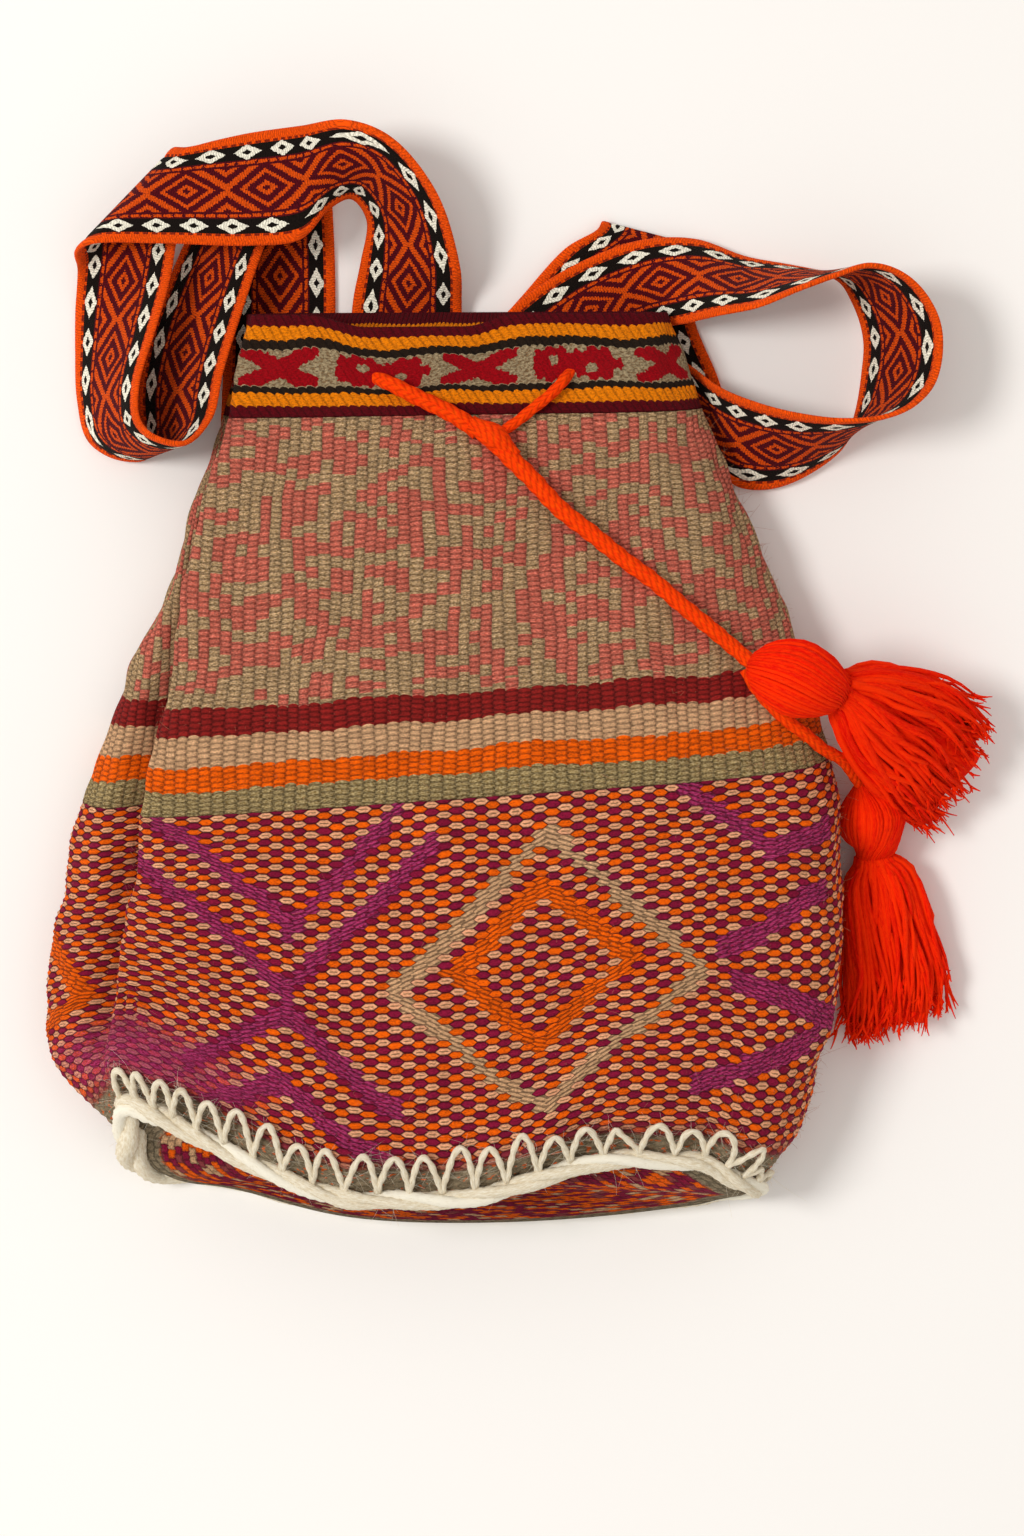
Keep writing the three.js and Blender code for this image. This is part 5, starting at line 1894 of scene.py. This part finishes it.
@dataclass
class Drawstring:
    """The cord through the band, its knot, the doubled tail and the single end, in millimetres."""

    cord: float = 6.4
    tail: float = 9.0
    gap: float = 0.35
    inside: float = 7.5
    through: float = 1.8
    left_run: tuple = ((0.006, 8.78), (0.996, 8.95), (0.987, 9.07), (0.976, 9.19), (0.967, 9.29))
    left_hole: tuple = (0.959, 9.37)
    right_run: tuple = ((0.018, 8.78), (0.026, 8.9), (0.035, 9.04), (0.045, 9.17), (0.052, 9.27))
    right_hole: tuple = (0.059, 9.36)
    knot_at: tuple = (0.013, 8.67)
    tail_run: tuple = ((0.016, 8.6), (0.022, 8.43), (0.03, 8.2), (0.041, 7.85), (0.053, 7.58), (0.064, 7.32),
                       (0.077, 7.05), (0.091, 6.78), (0.108, 6.46), (0.12, 6.22))
    tail_drop: tuple = ((138, 42.6, 60.5), (145, 39, 58.5))
    end_run: tuple = ((0.124, 6.0), (0.126, 5.85), (0.131, 5.68), (0.142, 5.45), (0.157, 5.27), (0.175, 5.12))
    end_drop: tuple = ((179, 0, 38), (186, -8, 28), (190, -14, 21), (192.5, -24, 19.5))
    left_inside: tuple = ((0.949, 9.43), (0.938, 9.45), (0.925, 9.45))
    back_inside: tuple = ((0.51, 9.45), (0.46, 9.45), (0.42, 9.45), (0.385, 9.45), (0.35, 9.45))
    right_inside: tuple = ((0.094, 9.44), (0.075, 9.42))
    mouth_station: float = 9.45
    mouth_inset: float = 18.0
    cord_girth: tuple = ((0, 0.1, 0.16, 0.3, 0.75, 0.86, 1), (4.3, 3.9, 3.3, 3.0, 3.0, 2.9, 2.6))
    tail_girth: tuple = ((0, 0.3, 1), (4.5, 4.2, 3.6))
    end_girth: tuple = ((0, 1), (3.1, 3.0))

    def build(self) -> list[bpy.types.Object]:
        """Makes and dresses the cord, its knot and both tassels.

        Returns:
            The three cords, the knot and the tassels' pieces.
        """
        wool = Yarn("cord_wool", Dye.BRAID, Dye.BRAID_DEEP, 4.2).material()
        loose = Yarn("tassel_wool", Dye.CORD, Dye.CORD_DEEP).material()
        runs = ((self.string_route(), self.cord_girth, self.cord, "drawstring"),
                (self.tail_route(), self.tail_girth, self.tail, "drawstring_tail"),
                (self.end_route(), self.end_girth, self.cord, "drawstring_tail_end"))
        paths = [even_path(points, 1.1) for points, _, _, _ in runs]
        cords = [settle(self.braid(f"{node}_cord", path, girth), wool, "cord_wool", node)
                 for path, (_, girth, _, node) in zip(paths, runs)]
        knot = settle(self.knot(), wool, "cord_wool", "drawstring_knot")
        upper = Tassel("upper_tassel", UPPER_STATIONS, 3).build(loose)
        lower = Tassel("lower_tassel", LOWER_STATIONS, 8).build(loose)
        carried = ((knot,), tuple(upper), tuple(lower))
        for piece, path, (_, _, size, node), held in zip(cords, paths, runs, carried):
            tuple(path[0] * MM)
            size * MM
            "knot" if node == "drawstring" else "object"
            (path[::4] * MM).tolist()
        return [*cords, knot, *upper, *lower]

    @staticmethod
    def braid(name: str, path: Array, girth: tuple) -> bpy.types.Object:
        """One cord of four plies: thick at the knot and drawn thin toward its slit or tassel.

        Args:
            name: Name of the piece.
            path: Even points along it.
            girth: Shares of its length, and the radius at each.

        Returns:
            The object.
        """
        radius = np.interp(np.linspace(0, 1, len(path)), *girth)
        return Fabric.yarns(name, path[None], radius, sides=20, twist=0.03, plies=4, depth=0.16)

    @staticmethod
    def lying(run: Sequence[tuple], height: float) -> Array:
        """Points on the outside of the cloth at a height."""
        return FORM.above(*np.array(run).T, height)

    @staticmethod
    def behind(run: Sequence[tuple], inset: float) -> Array:
        """Points inside the cloth at an inset."""
        return FORM.spots(*np.array(run).T, inset)

    def mouth_turn(self, edge: str, offset: float, inward: float) -> Array:
        """Round turn of the cord at one end of the mouth, from the front of the band to its back.

        Args:
            edge: Which edge's row of stations.
            offset: How far the cord's turn stands from that edge along X.
            inward: How far its two ends stand from the turn.

        Returns:
            Three points.
        """
        station = np.array(self.mouth_station)
        y = FORM.at("y", station) + FORM.at("lean", station) / 2
        middle = (FORM.at("front", station) + FORM.at("back", station)) / 2
        x = FORM.at(edge, station) + offset
        return np.array([(x + inward, y, middle + 0.65 * self.cord), (x, y, middle),
                         (x + inward, y, middle - 0.9 * self.cord)])

    def string_route(self) -> Array:
        """Route of the cord: over the front, in at the left slit, round the inside and out at the right.

        Returns:
            Points along it.
        """
        height = self.cord / 2 + self.gap
        return np.vstack([
            self.lying(self.left_run, height),
            self.behind([self.left_hole], self.through),
            self.behind(self.left_inside, self.inside),
            self.mouth_turn("left", self.mouth_inset, self.cord),
            self.behind(self.back_inside, self.inside),
            self.mouth_turn("right", -self.mouth_inset, -self.cord)[::-1],
            self.behind(self.right_inside, self.inside),
            self.behind([self.right_hole], self.through),
            self.lying(self.right_run[::-1], height),
        ])

    def tail_route(self) -> Array:
        """Route of the doubled tail from the knot to the upper tassel."""
        return np.vstack([self.lying(self.tail_run, self.tail / 2 + self.gap), self.tail_drop])

    def end_route(self) -> Array:
        """Route of the single end from the tail to the lower tassel."""
        return np.vstack([self.lying(self.end_run, self.cord / 2 + self.gap), self.end_drop])

    def knot(self) -> bpy.types.Object:
        """The knot: a swelling where the left strand becomes the tail and the right one joins it.

        Returns:
            The object.
        """
        centre = FORM.above(np.array(self.knot_at[0]), np.array(self.knot_at[1]), 5.4)
        share = np.linspace(-1, 1, 40)
        axis, side = (np.array([math.cos(t), math.sin(t), 0.0]) for t in np.radians([-38.0, 52.0]))
        path = centre + axis * (share * 13.0)[:, None] + side * (1.2 * np.cos(share * np.pi / 2))[:, None]
        girth = 3.9 + 2.5 * np.cos(share * np.pi / 2) ** 2
        return Fabric.yarns("knot_cord", path[None], girth, sides=20, twist=0.02, plies=3, depth=0.16)


@dataclass
class Studio:
    """Pale floor, soft light and the camera straight above, in metres."""

    eye: tuple = (0.0268, -0.0038, 2.0)
    frame_height: float = 0.72192
    sensor: float = 36.0
    floor_half: float = 4.0
    floor_drop: float = 0.0002
    sky: tuple = (1.0, 0.975, 0.945, 1.0)
    sky_light: float = 0.68
    lamp_at: tuple = (-2.15, 0.3, 3.0)
    lamp_dye: tuple = (1.0, 0.99, 0.975)
    lamp_size: float = 1.2
    lamp_power: float = 69.0

    def build(self) -> None:
        """Lays the floor, hangs the light and sets the camera."""
        self.floor()
        self.light()
        self.camera()

    def floor(self) -> None:
        """Plain pale floor, a little under the bag."""
        half, down = self.floor_half / MM, -self.floor_drop / MM
        verts = np.array([(-half, -half, down), (half, -half, down), (half, half, down), (-half, half, down)])
        floor = Fabric.mesh("floor", verts, np.array([[0, 1, 2, 3]]))
        floor.data.materials.append(Loom("floor_paper").finish(Dye.FLOOR, rough=0.9, sheen=0.0))

    def light(self) -> None:
        """One broad lamp from the upper left over an even sky."""
        world = bpy.data.worlds.new("sky")
        world.use_nodes = True
        sky = world.node_tree.nodes["Background"]
        sky.inputs[0].default_value = self.sky
        sky.inputs[1].default_value = self.sky_light
        bpy.context.scene.world = world
        data = bpy.data.lights.new("lamp", "AREA")
        data.shape = "DISK"
        data.size = self.lamp_size
        data.energy = self.lamp_power
        data.color = self.lamp_dye
        lamp = bpy.data.objects.new("lamp", data)
        lamp.location = self.lamp_at
        lamp.rotation_euler = lamp.location.to_track_quat("Z", "Y").to_euler()
        bpy.context.scene.collection.objects.link(lamp)

    def camera(self) -> None:
        """Camera straight down with the photo's frame at the floor."""
        data = bpy.data.cameras.new("camera")
        data.lens = self.sensor * self.eye[2] / self.frame_height
        camera = bpy.data.objects.new("camera", data)
        camera.location = self.eye
        bpy.context.scene.collection.objects.link(camera)
        bpy.context.scene.camera = camera


UPPER_STATIONS = (
    (137.1, 43, 60.1, 5.1, 5.1), (142.9, 41, 63.9, 12.9, 12.9), (156, 37, 66, 17, 17),
    (168.9, 33, 64.9, 13.9, 13.9), (176, 31, 61, 9.5, 8.5), (186.1, 26, 53.1, 19.1, 12.1),
    (203.1, 15, 41.5, 28.5, 12), (219.9, 3, 30, 30.5, 11), (236, -14, 16.1, 27, 8.1),
)
LOWER_STATIONS = (
    (190, -11, 22, 4, 4), (192, -18, 20, 11, 11), (194, -28, 18.5, 15.5, 15.5),
    (196, -38, 16.8, 11.5, 11.5), (196, -46, 15, 8.8, 7), (198.5, -56, 13, 16.5, 9.5),
    (203, -80, 11.5, 20.5, 10.5), (207, -105, 11, 24.5, 10), (205, -127, 9.1, 23, 8.1),
)
LOW, MID, HIGH = 1.75, 4.8, 7.85
LEFT_STATIONS = (
    (-49, 168, HIGH, 0, 0, 0.97), (-48, 212, HIGH, 0, 0, 0.95), (-44, 233, 10, -4, 16, 0.90),
    (-41, 252, 11, 16, 42, 0.85), (-48, 261, 20, 52, 42, 0.78), (-57, 256, 27, 78, 26, 0.80),
    (-71, 240, 36, 90, 2, 0.97), (-94, 237, 38, 90, -2, 0.97), (-133, 238, 38, 64, -2, 0.99),
    (-168, 238, 36, 45, -2, 1.18), (-176, 235, 26, 46, 2, 1.24), (-176, 229, 14, 43, 9, 1.27),
    (-178, 211, 3, 19, 28, 1.05), (-178, 192, 2.5, 11, 40, 1.0), (-177, 169, 2.5, 6, 53, 1.0),
    (-172, 150, 2.5, 13, 58, 1.0), (-160, 142, 2.5, 16, 64, 1.0), (-146, 142, 2.5, 8, 64, 1.0),
    (-147, 151, 2.5, 10, 48, 1.0), (-149, 169, 2.5, 14, 36, 1.0), (-145, 196, 3, 16, 24, 0.99),
    (-135, 223, 4, 18, 22, 0.98), (-124, 247, 8, 17, 17, 0.94), (-113, 266, 13, 6, 8, 0.93),
    (-110, 272, 9, 6, 4, 0.93), (-109, 266, 4.6, 4, 1, 0.94), (-108, 244, LOW + 0.4, 0, 0, 0.95),
    (-108, 208, LOW, 0, 0, 0.96), (-112, 122, LOW, 0, 0, 0.98), (-123, -19, LOW, 0, 0, 1.0),
    (-135, -168, LOW, 0, 0, 1.0),
)
RIGHT_STATIONS = (
    (111, 143, HIGH, 109, 0, 1.0), (122, 136, HIGH - 0.6, 105, 3, 0.95), (133, 128, 4, 102, 21, 0.92),
    (147, 127, 3, 99, 40, 0.92), (162, 132, 3, 96, 57, 0.92), (180, 145, 3, 94, 78, 0.95),
    (186, 156, 3, 5, 77, 0.97), (189, 167, 3, -10, 64, 0.98), (191, 181, 3, -14, 54, 0.98),
    (192, 195, 3, -11, 51, 0.98), (190, 206, 3, -6, 51, 0.98), (186, 216, 3, 0, 57, 0.98),
    (182, 223, 3, 2, 65, 0.97), (177, 227, 3, -3, 75, 0.97), (169, 229, 3, -47, 79, 0.97),
    (155, 232, 3, -77, 71, 0.97), (136, 236, 3, -81, 57, 0.96), (113, 244, 5, -78, 38, 0.94),
    (89, 243.5, 10, -64, 14, 0.86), (67, 236.5, 10.5, -51, -4, 0.83), (46, 226, 9, -42, -2, 0.88),
    (28, 213, HIGH, -39, 0, 0.92), (16, 200, HIGH, -39, 0, 0.92), (12, 196, 6.4, -39, 0, 0.92),
    (15, 199, MID, -39, 0, 0.92), (31, 217, MID, -38, 0, 0.94), (52, 240, MID, -25, 0, 0.94),
    (67, 249, MID, -15, 0, 0.88), (69, 253, 3.4, -15, 0, 0.88), (68, 248, LOW + 0.8, -12, 0, 0.86),
    (62, 205, LOW, 5, 0, 0.93), (75, 164, LOW, 8, 0, 0.95), (73, 132, LOW, 3, 0, 0.97),
    (68, 75, LOW, 0, 0, 1.0), (69, -19, LOW, 0, 0, 1.0), (72, -168, LOW, 0, 0, 1.0),
)


def main() -> None:
    """Builds the backpack in its place."""
    logging.basicConfig(level=logging.INFO, format="%(name)s: %(message)s")
    scene = bpy.context.scene
    scene.view_settings.view_transform = "Standard"
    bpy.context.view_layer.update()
    Studio().build()
    Drawstring().build()
    BagCloth().build()
    SeamStitching().build()
    Fuzz().build()
    strap_wool = StrapCloth().material()
    for strap in (Strap("left_strap_cloth", "left_strap", LEFT_STATIONS),
                  Strap("right_strap_cloth", "right_strap", RIGHT_STATIONS)):
        strap.build(strap_wool)


if __name__ == "__main__":
    main()
